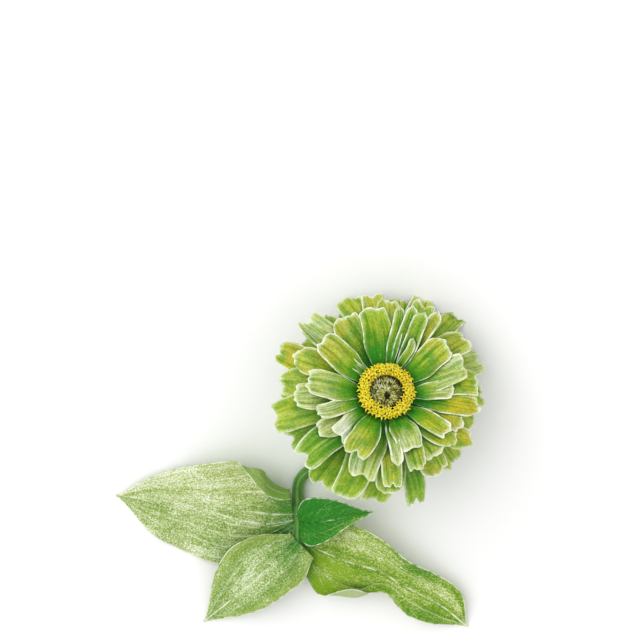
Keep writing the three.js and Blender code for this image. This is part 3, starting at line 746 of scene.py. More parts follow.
def stencil(name, part):
    """The shape that a tree repeats. It is taken away again afterwards."""
    mesh = bpy.data.meshes.new(name)
    mesh.from_pydata(part["points"].tolist(), [], part["faces"])
    for fact, values in part["facts"].items():
        mesh.attributes.new(fact, "FLOAT", "POINT").data.foreach_set("value", values.ravel())
    made = bpy.data.objects.new(name, mesh)
    scene.collection.objects.link(made)
    return made


head_matrix = Matrix.Translation((foot + PLAN_SHIFT) * MM) @ Matrix(head_axes.T.tolist()).to_4x4()
head_matrix = head_matrix @ Matrix.Scale(MM, 4)
disc_matrix = head_matrix @ Matrix.Translation((-0.9, 0.5, 0.0))  # the disc sits a little off the middle

# %% The tree that packs the scales
GOLDEN_ANGLE = math.pi * (3 - math.sqrt(5))
scale_tree, given = start_tree(
    "packed_scales",
    {
        "Count": "Int",
        "Radius": "Float",
        "Base": "Float",
        "Rise": "Float",
        "Eye X": "Float",
        "Eye Y": "Float",
        "Seed": "Int",
        "Scale": "Object",
        "Material": "Material",
    },
)

# the place of each scale: out on the spiral, drawn towards the eye, and up on the dome
index = add(scale_tree, "GeometryNodeInputIndex").outputs[0]
counted = add(scale_tree, MATH, {0: index, 1: 0.5}, operation="ADD").outputs[0]
counted = add(scale_tree, MATH, {0: counted, 1: given["Count"]}, operation="DIVIDE").outputs[0]
outwards = add(scale_tree, MATH, {0: counted}, operation="SQRT").outputs[0]
inwards = add(scale_tree, MATH, {0: 1.0, 1: outwards}, operation="SUBTRACT").outputs[0]
turn = add(scale_tree, MATH, {0: index, 1: GOLDEN_ANGLE}, operation="MULTIPLY").outputs[0]
cosine = add(scale_tree, MATH, {0: turn}, operation="COSINE").outputs[0]
sine = add(scale_tree, MATH, {0: turn}, operation="SINE").outputs[0]
reach_out = add(scale_tree, MATH, {0: outwards, 1: given["Radius"]}, operation="MULTIPLY").outputs[0]
eye_x = add(scale_tree, MATH, {0: inwards, 1: given["Eye X"]}, operation="MULTIPLY").outputs[0]
eye_y = add(scale_tree, MATH, {0: inwards, 1: given["Eye Y"]}, operation="MULTIPLY").outputs[0]
x = add(scale_tree, MATH, {0: reach_out, 1: cosine, 2: eye_x}, operation="MULTIPLY_ADD").outputs[0]
y = add(scale_tree, MATH, {0: reach_out, 1: sine, 2: eye_y}, operation="MULTIPLY_ADD").outputs[0]
below = add(scale_tree, MATH, {0: 1.0, 1: counted}, operation="SUBTRACT").outputs[0]
below = add(scale_tree, MATH, {0: below}, operation="SQRT").outputs[0]
lifted = {0: below, 1: given["Rise"], 2: given["Base"]}
z = add(scale_tree, MATH, lifted, operation="MULTIPLY_ADD").outputs[0]
spot = add(scale_tree, "ShaderNodeCombineXYZ", {0: x, 1: y, 2: z}).outputs[0]
points = add(scale_tree, "GeometryNodePoints", {0: given["Count"], 1: spot}).outputs[0]

# what the material reads: a number of its own, how far out it is, and how far towards the upper right,
# where the material paints shade
own_number = add(scale_tree, "FunctionNodeRandomValue", {2: 0.0, 3: 1.0, 8: given["Seed"]}).outputs[1]
towards = add(scale_tree, MATH, {0: sine, 1: 0.6, 2: cosine}, operation="MULTIPLY_ADD").outputs[0]
far_side = add(scale_tree, MATH, {0: outwards, 1: towards}, operation="MULTIPLY").outputs[0]
for fact, value in {"own": own_number, "rank": outwards, "far_side": far_side}.items():
    stored = {0: points, 2: fact, 3: value}
    points = add(scale_tree, "GeometryNodeStoreNamedAttribute", stored).outputs[0]

# how it stands: it leans outwards, and those at the rim of the open eye are small
upright = add(scale_tree, "FunctionNodeRandomValue", {2: 0.35, 3: 1.5, 7: index, 8: given["Seed"]}).outputs[1]
leaning = add(scale_tree, "ShaderNodeCombineXYZ", {0: cosine, 1: sine, 2: upright}).outputs[0]
aligned = add(scale_tree, "FunctionNodeAlignRotationToVector", {2: leaning}, axis="Z").outputs[0]
growth = add(scale_tree, "FunctionNodeRandomValue", {2: 0.7, 3: 1.25, 7: index, 8: given["Seed"]}).outputs[1]
open_eye = add(scale_tree, "ShaderNodeMapRange", {0: outwards, 1: 0.12, 2: 0.18, 3: 0.45, 4: 1.0}).outputs[0]
growth = add(scale_tree, MATH, {0: growth, 1: open_eye}, operation="MULTIPLY").outputs[0]
scale_shape = add(scale_tree, "GeometryNodeObjectInfo", {0: given["Scale"]}).outputs["Geometry"]
instances = add(
    scale_tree,
    "GeometryNodeInstanceOnPoints",
    {"Points": points, "Instance": scale_shape, "Rotation": aligned, "Scale": growth},
).outputs[0]
end_tree(scale_tree, instances, given)

# %% [markdown]
# A dried scale is matt and papery. Most are olive or dark grey-brown, some are bleached nearly white, and
# those round the eye are black. Dark and pale ones stand in groups, about three millimetres across. Towards
# the upper right the scales are a little darker: painted shade.

# %% Scale material
DISC_BASE = 20.3
DISC_RADIUS = 7.4
DISC_RISE = 5.2
chaff, tree, surface = new_material("dry_chaff", 0.8, Specular_IOR_Level=0.1)
own, rank, tip_share, far_side = (
    add(tree, "ShaderNodeAttribute", attribute_name=fact).outputs["Fac"]
    for fact in ("own", "rank", "tip", "far_side")
)
place = add(tree, "ShaderNodeTexCoord").outputs["Object"]
CHAFF_GROUP = 3.03  # millimetres
grouped = {"Vector": place, "Scale": 1 / (CHAFF_GROUP * MM), "Detail": 1.0}
cloudy = add(tree, NOISE, grouped).outputs["Fac"]
sorted_by = add(tree, MATH, {0: own, 1: 0.7, 2: -0.29}, operation="MULTIPLY_ADD").outputs[0]
sorted_by = add(tree, MATH, {0: cloudy, 1: 1.2, 2: sorted_by}, operation="MULTIPLY_ADD").outputs[0]
# painted shade: the scales are darker towards the upper right
sorted_by = add(tree, MATH, {0: far_side, 1: -0.2, 2: sorted_by}, operation="MULTIPLY_ADD").outputs[0]
CHAFF_TONES = [
    (0, "#171613"),
    (0.42, "#35322a"),
    (0.52, "#7a7d34"),
    (0.64, "#babf48"),
    (0.8, "#d6d97a"),
    (1, "#f2f3da"),
]
chaff_colour = add(tree, "ShaderNodeValToRGB", {0: sorted_by}, stops=CHAFF_TONES).outputs[0]
chaff_colour = wash(tree, chaff_colour, "#d2d47c", (tip_share, 0.3, 1.0, 0.0, 0.35))
chaff_colour = wash(tree, chaff_colour, "#2b2925", (rank, 0.66, 0.92, 0.0, 0.75))
chaff_colour = wash(tree, chaff_colour, "#0e0d0b", (rank, 0.15, 0.11))
tree.links.new(chaff_colour, surface.inputs["Base Color"])

# %% Make the disc
scale_rings = turned_rings([(0.14, 0.0), (0.27, 0.45), (0.19, 1.0), (0.05, 1.45)], 5)
tips = np.broadcast_to(np.array([0.0, 0.25, 0.7, 1.0])[:, None], (4, 5))
scale_stencil = stencil("scale_stencil", tube(scale_rings, {"tip": tips}))
packed = {
    "Count": 620,
    "Radius": DISC_RADIUS - 0.1,
    "Base": DISC_BASE + 0.3,
    "Rise": DISC_RISE - 0.9,
    "Eye X": 0.6,
    "Eye Y": -2.6,
    "Seed": 4,
    "Scale": scale_stencil,
    "Material": chaff,
}
scales_mesh = grow(scale_tree, bpy.data.meshes.new("scales_base"), packed)
scales_mesh.transform(disc_matrix)
link_piece("disc_chaff", scales_mesh, "disc_scales")

DOME_WALL = 0.5  # the dome under the scales: a short upright wall, and a rounded top
DOME_RISE = 4.1
dome = [(DISC_RADIUS, DISC_BASE), (DISC_RADIUS, DISC_BASE + DOME_WALL)]
for share in np.linspace(0.1, 0.95, 12) * math.pi / 2:
    dome.append((DISC_RADIUS * math.cos(share), DISC_BASE + DOME_WALL + DOME_RISE * math.sin(share)))
dome_rings = turned_rings(dome, 48)
dome_part = tube(dome_rings, plain_facts(dome_rings, own=0.0, rank=1.0, tip=0.0, far_side=0.6))
dome_part["points"] = in_place(dome_part["points"])
piece("disc_dome", [dome_part], chaff, "disc_scales")

# %% [markdown]
# ## The ring of open florets
# Round the disc stand rows of open disc florets. Each is a slender tube that opens into five pointed,
# curved lobes, bright yellow, with an orange throat and a forked style. One floret is modelled, and a tree
# sets three rows of them round the ring, each with its own small turn, lean and size.

# %% One floret
LOBES = 5
FLORET_SIDES = 20


def floret_part():
    angles = np.arange(FLORET_SIDES) * 2 * math.pi / FLORET_SIDES
    # 1 on a lobe's tip, 0 between two
    pointed = np.abs(((angles * LOBES / (2 * math.pi)) % 1) * 2 - 1) ** 1.6
    rows = [  # level, round radius, how far the lobes reach beyond it, level of the tips above it, reach
        (-4.6, 0.42, 0.0, 0.0, 0.0),
        (-1.2, 0.55, 0.0, 0.0, 0.3),
        (-0.35, 0.68, 0.5, 0.2, 0.6),
        (-0.1, 0.68, 1.75, 0.2, 1.0),
        (0.05, 0.66, 1.7, 0.25, 1.0),
        (0.15, 0.6, 0.85, 0.55, 0.8),
        (0.05, 0.42, 0.15, 0.0, 0.25),
        (-0.6, 0.25, 0.0, 0.0, 0.0),
    ]
    rings = []
    reaches = []
    for level, round_radius, lobe, lift, reach_share in rows:
        radii = round_radius + lobe * pointed
        rings.append(np.stack([radii * np.cos(angles), radii * np.sin(angles), level + lift * pointed], -1))
        reaches.append(mix(0.4 * reach_share, reach_share, pointed))
    return tube(np.array(rings), {"reach": np.array(reaches)})


def style_part():
    rings = turned_rings([(0.17, -0.7), (0.15, 0.3), (0.2, 0.7), (0.07, 1.1)], 5)
    return tube(rings, plain_facts(rings, reach=-1.0))


floret, style = floret_part(), style_part()
points, faces = joined([floret, style])
reaches = np.concatenate([floret["facts"]["reach"], style["facts"]["reach"]])
floret_stencil = stencil("floret_stencil", {"points": points, "faces": faces, "facts": {"reach": reaches}})
print("faces in one floret:", len(floret_stencil.data.polygons))

# %% The tree that sets florets round a ring
ring_tree, given = start_tree(
    "floret_ring",
    {
        "Count": "Int",
        "Radius": "Float",
        "Height": "Float",
        "Lean": "Float",
        "Size": "Float",
        "Seed": "Int",
        "Floret": "Object",
        "Material": "Material",
    },
)


def floret_chance(low, high, kind):
    """A number between low and high for each floret. Draws of different kinds don't follow each other."""
    seed = add(ring_tree, MATH, {0: given["Seed"], 1: float(kind)}, operation="ADD").outputs[0]
    return add(ring_tree, "FunctionNodeRandomValue", {2: low, 3: high, 7: index, 8: seed}).outputs[1]


# the place of each floret, evenly round the ring but for a little chance
index = add(ring_tree, "GeometryNodeInputIndex").outputs[0]
turn = add(ring_tree, MATH, {0: index, 1: floret_chance(-0.25, 0.25, 1)}, operation="ADD").outputs[0]
turn = add(ring_tree, MATH, {0: turn, 1: 2 * math.pi}, operation="MULTIPLY").outputs[0]
turn = add(ring_tree, MATH, {0: turn, 1: given["Count"]}, operation="DIVIDE").outputs[0]
cosine = add(ring_tree, MATH, {0: turn}, operation="COSINE").outputs[0]
sine = add(ring_tree, MATH, {0: turn}, operation="SINE").outputs[0]
out_by = {0: given["Radius"], 1: floret_chance(-0.3, 0.3, 2)}
ring_radius = add(ring_tree, MATH, out_by, operation="ADD").outputs[0]
x = add(ring_tree, MATH, {0: ring_radius, 1: cosine}, operation="MULTIPLY").outputs[0]
y = add(ring_tree, MATH, {0: ring_radius, 1: sine}, operation="MULTIPLY").outputs[0]
z = add(ring_tree, MATH, {0: given["Height"], 1: floret_chance(-0.4, 0.4, 3)}, operation="ADD").outputs[0]
spot = add(ring_tree, "ShaderNodeCombineXYZ", {0: x, 1: y, 2: z}).outputs[0]
points = add(ring_tree, "GeometryNodePoints", {0: given["Count"], 1: spot}).outputs[0]
stored = {0: points, 2: "own", 3: floret_chance(0.0, 1.0, 4)}
points = add(ring_tree, "GeometryNodeStoreNamedAttribute", stored).outputs[0]

# how it leans, out from the middle and a little aside, and how far it is turned about itself
lean = add(ring_tree, MATH, {0: given["Lean"], 1: floret_chance(-0.22, 0.22, 5)}, operation="ADD").outputs[0]
lean_out = add(ring_tree, MATH, {0: lean}, operation="SINE").outputs[0]
lean_up = add(ring_tree, MATH, {0: lean}, operation="COSINE").outputs[0]
aside = floret_chance(-0.25, 0.25, 6)
aside_x = add(ring_tree, MATH, {0: aside, 1: sine}, operation="MULTIPLY").outputs[0]
minus_cosine = add(ring_tree, MATH, {0: cosine, 1: -1.0}, operation="MULTIPLY").outputs[0]
aside_y = add(ring_tree, MATH, {0: aside, 1: minus_cosine}, operation="MULTIPLY").outputs[0]
lean_x = add(ring_tree, MATH, {0: lean_out, 1: cosine, 2: aside_x}, operation="MULTIPLY_ADD").outputs[0]
lean_y = add(ring_tree, MATH, {0: lean_out, 1: sine, 2: aside_y}, operation="MULTIPLY_ADD").outputs[0]
direction = add(ring_tree, "ShaderNodeCombineXYZ", {0: lean_x, 1: lean_y, 2: lean_up}).outputs[0]
own_turn = {0: (0.0, 0.0, 1.0), 1: floret_chance(0.0, 6.28, 7)}
spin = add(ring_tree, "FunctionNodeAxisAngleToRotation", own_turn).outputs[0]
aligned = add(ring_tree, "FunctionNodeAlignRotationToVector", {0: spin, 2: direction}, axis="Z").outputs[0]
grown = {0: given["Size"], 1: floret_chance(0.86, 1.12, 8)}
growth = add(ring_tree, MATH, grown, operation="MULTIPLY").outputs[0]
floret_shape = add(ring_tree, "GeometryNodeObjectInfo", {0: given["Floret"]}).outputs["Geometry"]
instances = add(
    ring_tree,
    "GeometryNodeInstanceOnPoints",
    {"Points": points, "Instance": floret_shape, "Rotation": aligned, "Scale": growth},
).outputs[0]
end_tree(ring_tree, instances, given)

# %% [markdown]
# A floret's lobes are satin and bright yellow, and reflect the light evenly. Its throat is duller, a few
# florets are orange with age, and pollen dusts them.

# %% Floret material
pollen_yellow, tree, surface = new_material("floret_yellow", 0.5, Specular_IOR_Level=0.15)
reach_share, own = (
    add(tree, "ShaderNodeAttribute", attribute_name=fact).outputs["Fac"] for fact in ("reach", "own")
)
place = add(tree, "ShaderNodeTexCoord").outputs["Object"]
POLLEN_GRAIN = 1.11  # millimetres: pollen is far finer, and is drawn coarser so that it shows
dusted = {"Vector": place, "Scale": 1 / (POLLEN_GRAIN * MM), "Detail": 2.0}
dusty = add(tree, NOISE, dusted).outputs["Fac"]
FLORET_YELLOWS = [(0, "#b0a61a"), (0.2, "#e6cc18"), (0.4, "#f6e21c"), (0.75, "#faf03a"), (1, "#fcf788")]
floret_colour = add(tree, "ShaderNodeValToRGB", {0: reach_share}, stops=FLORET_YELLOWS).outputs[0]
floret_colour = wash(tree, floret_colour, "#f0a41a", (own, 0.86, 1.0, 0.0, 0.4))
floret_colour = wash(tree, floret_colour, "#fff08a", (dusty, 0.58, 0.75, 0.0, 0.5))
floret_colour = wash(tree, floret_colour, "#d79a1e", (reach_share, -0.2, -0.6))
tree.links.new(floret_colour, surface.inputs["Base Color"])

# %% Make the florets
FLORET_ROWS = {
    "florets_inner": {"Count": 19, "Radius": 8.5, "Height": 25.9, "Lean": -0.15, "Size": 0.88, "Seed": 11},
    "florets_middle": {"Count": 25, "Radius": 9.9, "Height": 26.1, "Lean": 0.3, "Size": 0.95, "Seed": 23},
    "florets_outer": {"Count": 30, "Radius": 11.35, "Height": 24.9, "Lean": 0.75, "Size": 1.0, "Seed": 37},
}
for name, row in FLORET_ROWS.items():
    values = {**row, "Floret": floret_stencil, "Material": pollen_yellow}
    row_mesh = grow(ring_tree, bpy.data.meshes.new(name + "_base"), values)
    row_mesh.transform(disc_matrix)
    link_piece(name, row_mesh, "disc_florets")
for used in (scale_stencil, floret_stencil):
    bpy.data.objects.remove(used)

FLORET_BED = [(7.9, 20.3), (10.3, 20.3), (10.3, 22.6), (9.6, 23.4), (7.9, 23.4)]


def loop_tube(rings, facts):
    """A ring-shaped solid: the last ring of points joins the first one again."""
    stations, sides = rings.shape[:2]
    index_grid = np.arange(stations * sides).reshape(stations, sides)
    nearby = np.roll(index_grid, -1, axis=1)
    ahead = np.roll(index_grid, -1, axis=0)
    ahead_nearby = np.roll(nearby, -1, axis=0)
    faces = np.stack([index_grid, nearby, ahead_nearby, ahead], -1).reshape(-1, 4).tolist()
    flat = {name: value.reshape(stations * sides, -1) for name, value in facts.items()}
    return {"points": rings.reshape(-1, 3), "faces": faces, "facts": flat}


bed_rings = turned_rings(FLORET_BED, 60)
bed_part = loop_tube(bed_rings, plain_facts(bed_rings, own=0.0, reach=0.25))
bed_part["points"] = in_place(bed_part["points"])
piece("floret_bed", [bed_part], pollen_yellow, "disc_florets")

# %% [markdown]
# ## The stem
# The stem follows one smooth line: from the cut end, through the two places where leaves grow, along the
# table and up the bent neck into the head, where it widens. Its section has six blunt ribs. The line passes
# through a few given points, as a bent spring would, and is walked at even steps.


# %% Smooth lines through points
def run_between(start, end, leaving, arriving, t):
    """A smooth run from start to end that leaves and arrives with the given speeds."""
    curved = -3 * start + 3 * end - 2 * leaving - arriving
    turning = 2 * start - 2 * end + leaving + arriving
    return start + leaving * t + curved * t**2 + turning * t**3


def knot_curve(knots, shares):
    """A line through the knots, its speed fitted to how far apart they are. It isn't at even steps yet."""
    knots = np.asarray(knots, float)
    padded = np.concatenate([[2 * knots[0] - knots[1]], knots, [2 * knots[-1] - knots[-2]]])
    last = len(knots) - 2
    walked = np.asarray(shares) * (len(knots) - 1)
    segment = np.minimum(walked.astype(int), last)
    t = (walked - segment)[:, None]
    before, start, end, after = (padded[segment + k] for k in range(4))
    pairs = ((before, start), (start, end), (end, after))
    gaps = [np.linalg.norm(b - a, axis=1, keepdims=True) ** 0.5 for a, b in pairs]
    leaving = (start - before) / gaps[0] - (end - before) / (gaps[0] + gaps[1]) + (end - start) / gaps[1]
    arriving = (end - start) / gaps[1] - (after - start) / (gaps[1] + gaps[2]) + (after - end) / gaps[2]
    return run_between(start, end, leaving * gaps[1], arriving * gaps[1], t)


def even_line(knots, shares):
    """Points and directions of the line at shares of its length."""
    fine = np.linspace(0, 1, 201)
    steps = np.linalg.norm(np.diff(knot_curve(knots, fine), axis=0), axis=1)
    lengths = np.concatenate([[0], np.cumsum(steps)])
    nudge = 1e-4

    def at(share):
        return knot_curve(knots, np.interp(share * lengths[-1], lengths, fine))

    ahead = at(np.minimum(shares + nudge, 1))
    behind = at(np.maximum(shares - nudge, 0))
    return at(shares), unit(ahead - behind)


def through(values, shares):
    """A smooth run through values at equal steps."""
    values = np.asarray(values, float)
    last = len(values) - 1
    walked = shares * last
    segment = np.minimum(walked.astype(int), last - 1)
    t = walked - segment
    a, b, c, d = (values[np.clip(segment + k, 0, last)] for k in (-1, 0, 1, 2))
    return run_between(b, c, (c - a) / 2, (d - b) / 2, t)


# %% The stem's line and radius
STEM_RADIUS = 2.5
STEM_RIB = 0.06
RIBS = 6
NECK_RADIUS = 2.7
NODE_SWELL = 1.1
NODE_SPREAD = 3.2
RECEPTACLE_RADIUS = 8
RECEPTACLE_TOP = 15.5
RECEPTACLE_FLARE = 11
stem_lift = STEM_RADIUS * (1 + STEM_RIB)
neck_turn = math.pi / 2 - LEAN
neck_bend = (FOOT_HEIGHT - stem_lift) / (1 - math.cos(neck_turn))


def neck_point(share):
    slope = mix(neck_turn, 0, share)
    run = neck_bend * (math.sin(neck_turn) - math.sin(slope))
    drop = neck_bend * (math.cos(slope) - math.cos(neck_turn))
    return foot - lean_to * run - [0, 0, drop]


upper_node = np.array([-37.4, -53.0, stem_lift])
lower_node = np.array([-37.6, -66.5, stem_lift])
stem_knots = [
    [-38.8, -87.0, stem_lift],
    lower_node,
    upper_node,
    [-36.4, -38.2, stem_lift],
    *[neck_point(share) for share in (1, 0.75, 0.5, 0.25)],
    foot,
    foot + head_up * RECEPTACLE_TOP / 2,
    foot + head_up * RECEPTACLE_TOP,
]


def receptacle_radius(height):
    return mix(NECK_RADIUS, RECEPTACLE_RADIUS, smooth(height, 0, RECEPTACLE_FLARE))


def stem_radius(line):
    height = (line - foot) @ head_up
    taper = mix(STEM_RADIUS, NECK_RADIUS, smooth(line[:, 2], stem_lift, FOOT_HEIGHT))
    for node in (upper_node, lower_node):
        taper = taper + NODE_SWELL * bell(np.linalg.norm(line - node, axis=1), 0, NODE_SPREAD)
    return np.where(height > 0, receptacle_radius(height), taper)


print("the neck bends round a circle of", round(neck_bend, 1), "mm")

# %% Build the stem
STEM_STATIONS = 220
STEM_SIDES = 48
stem_shares = np.linspace(0, 1, STEM_STATIONS + 1)
stem_line, stem_along = even_line(stem_knots, stem_shares)
stem_round = np.arange(STEM_SIDES) * 2 * math.pi / STEM_SIDES
side = np.array([1.0, 0.0, 0.0])
stem_rings = []
for at, along_stem, radius in zip(stem_line, stem_along, stem_radius(stem_line)):
    side = unit(side - along_stem * (side @ along_stem))
    lift = np.cross(along_stem, side)
    reach = radius * (1 - STEM_RIB * np.cos(RIBS * stem_round))[:, None]
    ring = at + reach * (side * np.cos(stem_round)[:, None] + lift * np.sin(stem_round)[:, None])
    stem_rings.append(ring + PLAN_SHIFT)
stem_rings = np.array(stem_rings)
# the cut end: the ring is drawn in twice, so that the cut has a face of its own with a pale pith
cut_middle = stem_rings[0].mean(0)
cut_rings = [mix(cut_middle, stem_rings[0], share) for share in (0.25, 0.6, 0.94)]
cut_rings[0] = cut_rings[0] + stem_along[0] * 0.35
stem_rings = np.concatenate([cut_rings, stem_rings])
stem_rings[..., 2] = np.maximum(stem_rings[..., 2], 0)
cut_share = np.zeros(stem_rings.shape[:2])
cut_share[:3] = np.array([1.0, 0.8, 0.5])[:, None]
stem_length = np.linalg.norm(np.diff(stem_line, axis=0), axis=1).sum()
down = np.concatenate([[0, 0, 0], stem_shares])
wrapped = np.broadcast_to((stem_round / (2 * math.pi))[None], stem_rings.shape[:2])
stem_facts = {
    "along": np.stack([wrapped, np.broadcast_to(down[:, None], wrapped.shape)], -1),
    "cut": cut_share,
    "rib": np.broadcast_to(-np.cos(RIBS * stem_round)[None], wrapped.shape),
}
stem_part = tube(stem_rings, stem_facts)
print("length of the stem's line in mm:", round(stem_length, 1))

# %% [markdown]
# A zinnia's stem is tough, ribbed and covered in short stiff hairs. It is deep green with paler ribs. The
# hairs stand on the surface at random, so a tree scatters them: one thin cone, a third of a millimetre to a
# millimetre long, turned along the surface's own direction and tipped a little.

# %% Stem material
stem_green, tree, surface = new_material("fibrous_stem", 0.55, Specular_IOR_Level=0.35)
along = add(tree, "ShaderNodeUVMap", uv_map="along").outputs["UV"]
rib_share, cut = (
    add(tree, "ShaderNodeAttribute", attribute_name=fact).outputs["Fac"] for fact in ("rib", "cut")
)
place = add(tree, "ShaderNodeTexCoord").outputs["Object"]
fibres = streaks_along(tree, along, 40.0, 14.0, 3.0)  # 40 round the stem: each is 0.4 millimetres wide
STEM_MOTTLE = 4.545  # millimetres
mottled = {"Vector": place, "Scale": 1 / (STEM_MOTTLE * MM), "Detail": 2.0}
mottle = add(tree, NOISE, mottled).outputs["Fac"]
stem_colour = wash(tree, "#2c6e2a", "#5d9a3c", (rib_share, -0.6, 1.0))
stem_colour = wash(tree, stem_colour, "#86ad4f", (fibres, 0.35, 0.7, 0.0, 0.55))
stem_colour = wash(tree, stem_colour, "#235c27", (mottle, 0.55, 0.3, 0.0, 0.45))
stem_colour = wash(tree, stem_colour, "#cfd9a4", (cut, 0.3, 0.8))
tree.links.new(stem_colour, surface.inputs["Base Color"])
bumps = add(tree, "ShaderNodeBump", {"Strength": 0.5, "Distance": 0.2 * MM, "Height": fibres})
tree.links.new(bumps.outputs[0], surface.inputs["Normal"])
piece("stem_ribbed", [stem_part], stem_green, "stem")

# %% Hairs
hair_white, tree, surface = new_material("plant_hair", 0.5, Specular_IOR_Level=0.3)
place = add(tree, "ShaderNodeTexCoord").outputs["Object"]
HAIR_PATCH = 2.5  # millimetres of stem over which the hairs turn paler or darker
faint = add(tree, NOISE, {"Vector": place, "Scale": 1 / (HAIR_PATCH * MM)}).outputs["Fac"]
tree.links.new(wash(tree, "#b9cf93", "#e3ecc8", faint), surface.inputs["Base Color"])

hair_tree, given = start_tree(
    "scattered_hairs",
    {"Density": "Float", "Length": "Float", "Thickness": "Float", "Seed": "Int", "Material": "Material"},
)
scattered = add(
    hair_tree,
    "GeometryNodeDistributePointsOnFaces",
    {"Mesh": given["Geometry"], "Density": given["Density"], "Seed": given["Seed"]},
)
hair = add(
    hair_tree,
    "GeometryNodeMeshCone",
    {0: 3, 1: 1, 2: 1, 3: 0.0, 4: given["Thickness"], 5: given["Length"]},
    fill_type="NONE",
)
tipped = add(
    hair_tree,
    "FunctionNodeRandomValue",
    {0: (-0.5, -0.5, -0.5), 1: (0.5, 0.5, 0.5), 8: given["Seed"]},
    data_type="FLOAT_VECTOR",
)
tipping = {0: scattered.outputs["Normal"], 1: tipped.outputs[0]}
pointing = add(hair_tree, "ShaderNodeVectorMath", tipping).outputs[0]
turned_up = add(hair_tree, "FunctionNodeAlignRotationToVector", {2: pointing}, axis="Z").outputs[0]
growth = add(hair_tree, "FunctionNodeRandomValue", {2: 0.35, 3: 1.0, 8: given["Seed"]}).outputs[1]
instances = add(
    hair_tree,
    "GeometryNodeInstanceOnPoints",
    {"Points": scattered.outputs[0], "Instance": hair.outputs[0], "Rotation": turned_up, "Scale": growth},
).outputs[0]
end_tree(hair_tree, instances, given)

HAIR_LENGTH = 0.9  # millimetres, and the radius at a hair's foot
HAIR_RADIUS = 0.045


def hairy(name, part, density, node, seed):
    base = mesh_of(name + "_base", [part])
    values = {
        "Density": density,
        "Length": HAIR_LENGTH * MM,
        "Thickness": HAIR_RADIUS * MM,
        "Seed": seed,
        "Material": hair_white,
    }
    mesh = grow(hair_tree, base, values)
    heights = np.empty(len(mesh.vertices) * 3)
    mesh.vertices.foreach_get("co", heights)
    heights = heights.reshape(-1, 3)
    heights[:, 2] = np.maximum(heights[:, 2], 0)
    mesh.vertices.foreach_set("co", heights.ravel())
    link_piece(name, mesh, node)


PER_SQUARE_METRE = 1e6
open_stem = tube(stem_rings[3:190], {name: value[3:190] for name, value in stem_facts.items()})
hairy("stem_hairs", open_stem, 0.7 * PER_SQUARE_METRE, "stem", 5)

# %% [markdown]
# ## The involucre
# Under the petals sits a cup of overlapping bracts, like tiles on a roof: each row hides the seams of the
# one above it. A bract is a blade that lies on the cup, with a rounded tip that stands free. On zinnias its
# edge is thin and dark. The cup itself is a turned wall that follows the widening stem.

# %% The cup
CUP_WALL = 1.1
CUP_FOOT = 2.0
CUP_RIM = 16.4
CUP_SIDES = 18
SEAT_GAP = 0.3
BRACT_BODY = 0.45
# row by row from the neck up: the height of the tips, how many bracts, their width and length, and their turn
BRACT_ROWS = [
    (6.2, 7, 5.6, 4.8, 0.0),
    (8.8, 8, 6.4, 5.6, 0.5),
    (11.4, 9, 7.0, 6.2, 0.1),
    (14.0, 10, 7.4, 6.6, 0.6),
    (16.5, 11, 7.6, 6.8, 0.2),
]
print("bracts:", sum(count for _, count, *_ in BRACT_ROWS))


def cup_radius(height):
    clear = receptacle_radius(height) * (1 + STEM_RIB) + SEAT_GAP
    return clear / math.cos(math.pi / CUP_SIDES) + CUP_WALL


cup_heights = np.linspace(CUP_FOOT, CUP_RIM, 14)
cup_profile = [(cup_radius(height), height) for height in cup_heights]
cup_profile += [(cup_radius(height) - CUP_WALL, height) for height in cup_heights[::-1]]
cup_rings = turned_rings(cup_profile, 60)
cup_part = loop_tube(cup_rings, plain_facts(cup_rings, to_edge=4.0, own=0.0, tip=0.0))
cup_part["points"] = in_place(cup_part["points"])


def bract_part(row_number, tip_height, count, width, length, index_in_row, turn_share):
    mark = 100 * row_number + index_in_row
    v, u = np.meshgrid(np.linspace(0, 1, 14), np.linspace(-1, 1, 13), indexing="ij")
    length *= 1 + swing(mark, 51, 0.06)
    rounded = 1 - np.clip((v - 0.45) / 0.55, 0, 1) ** 2.2
    outline = np.sqrt(np.clip(rounded, 0.004, 1)) * mix(0.8, 1, smooth(v, 0, 0.4))
    height = tip_height - length * (1 - v) - 0.25 * u * u * v
    radius = cup_radius(height) + 0.12 + 0.85 * smooth(v, 0.1, 1.0) - 0.3 * u * u * (1 - 0.4 * v)
    radius += 0.12 * np.cos(2 * math.pi * 1.5 * u) * (1 - v)
    around = 2 * math.pi * (index_in_row + turn_share + swing(mark, 52, 0.08)) / count
    angle = around + 0.5 * width * u * outline / cup_radius(tip_height - 0.5 * length)
    local = np.stack([radius * np.cos(angle), radius * np.sin(angle), height], -1)
    half = 0.5 * width * outline
    facts = {
        "to_edge": np.minimum(half * (1 - np.abs(u)), length * (1 - v)),
        "own": np.full_like(u, chance(mark, 53)),
        "tip": v,
    }
    return blade(in_place(local), BRACT_BODY, facts)


# %% [markdown]
# A bract is leathery, with a little sheen. It is deep green at its foot and yellow-green at its tip, and a
# thin dark line runs round its edge, where a real one has a dark fringe.

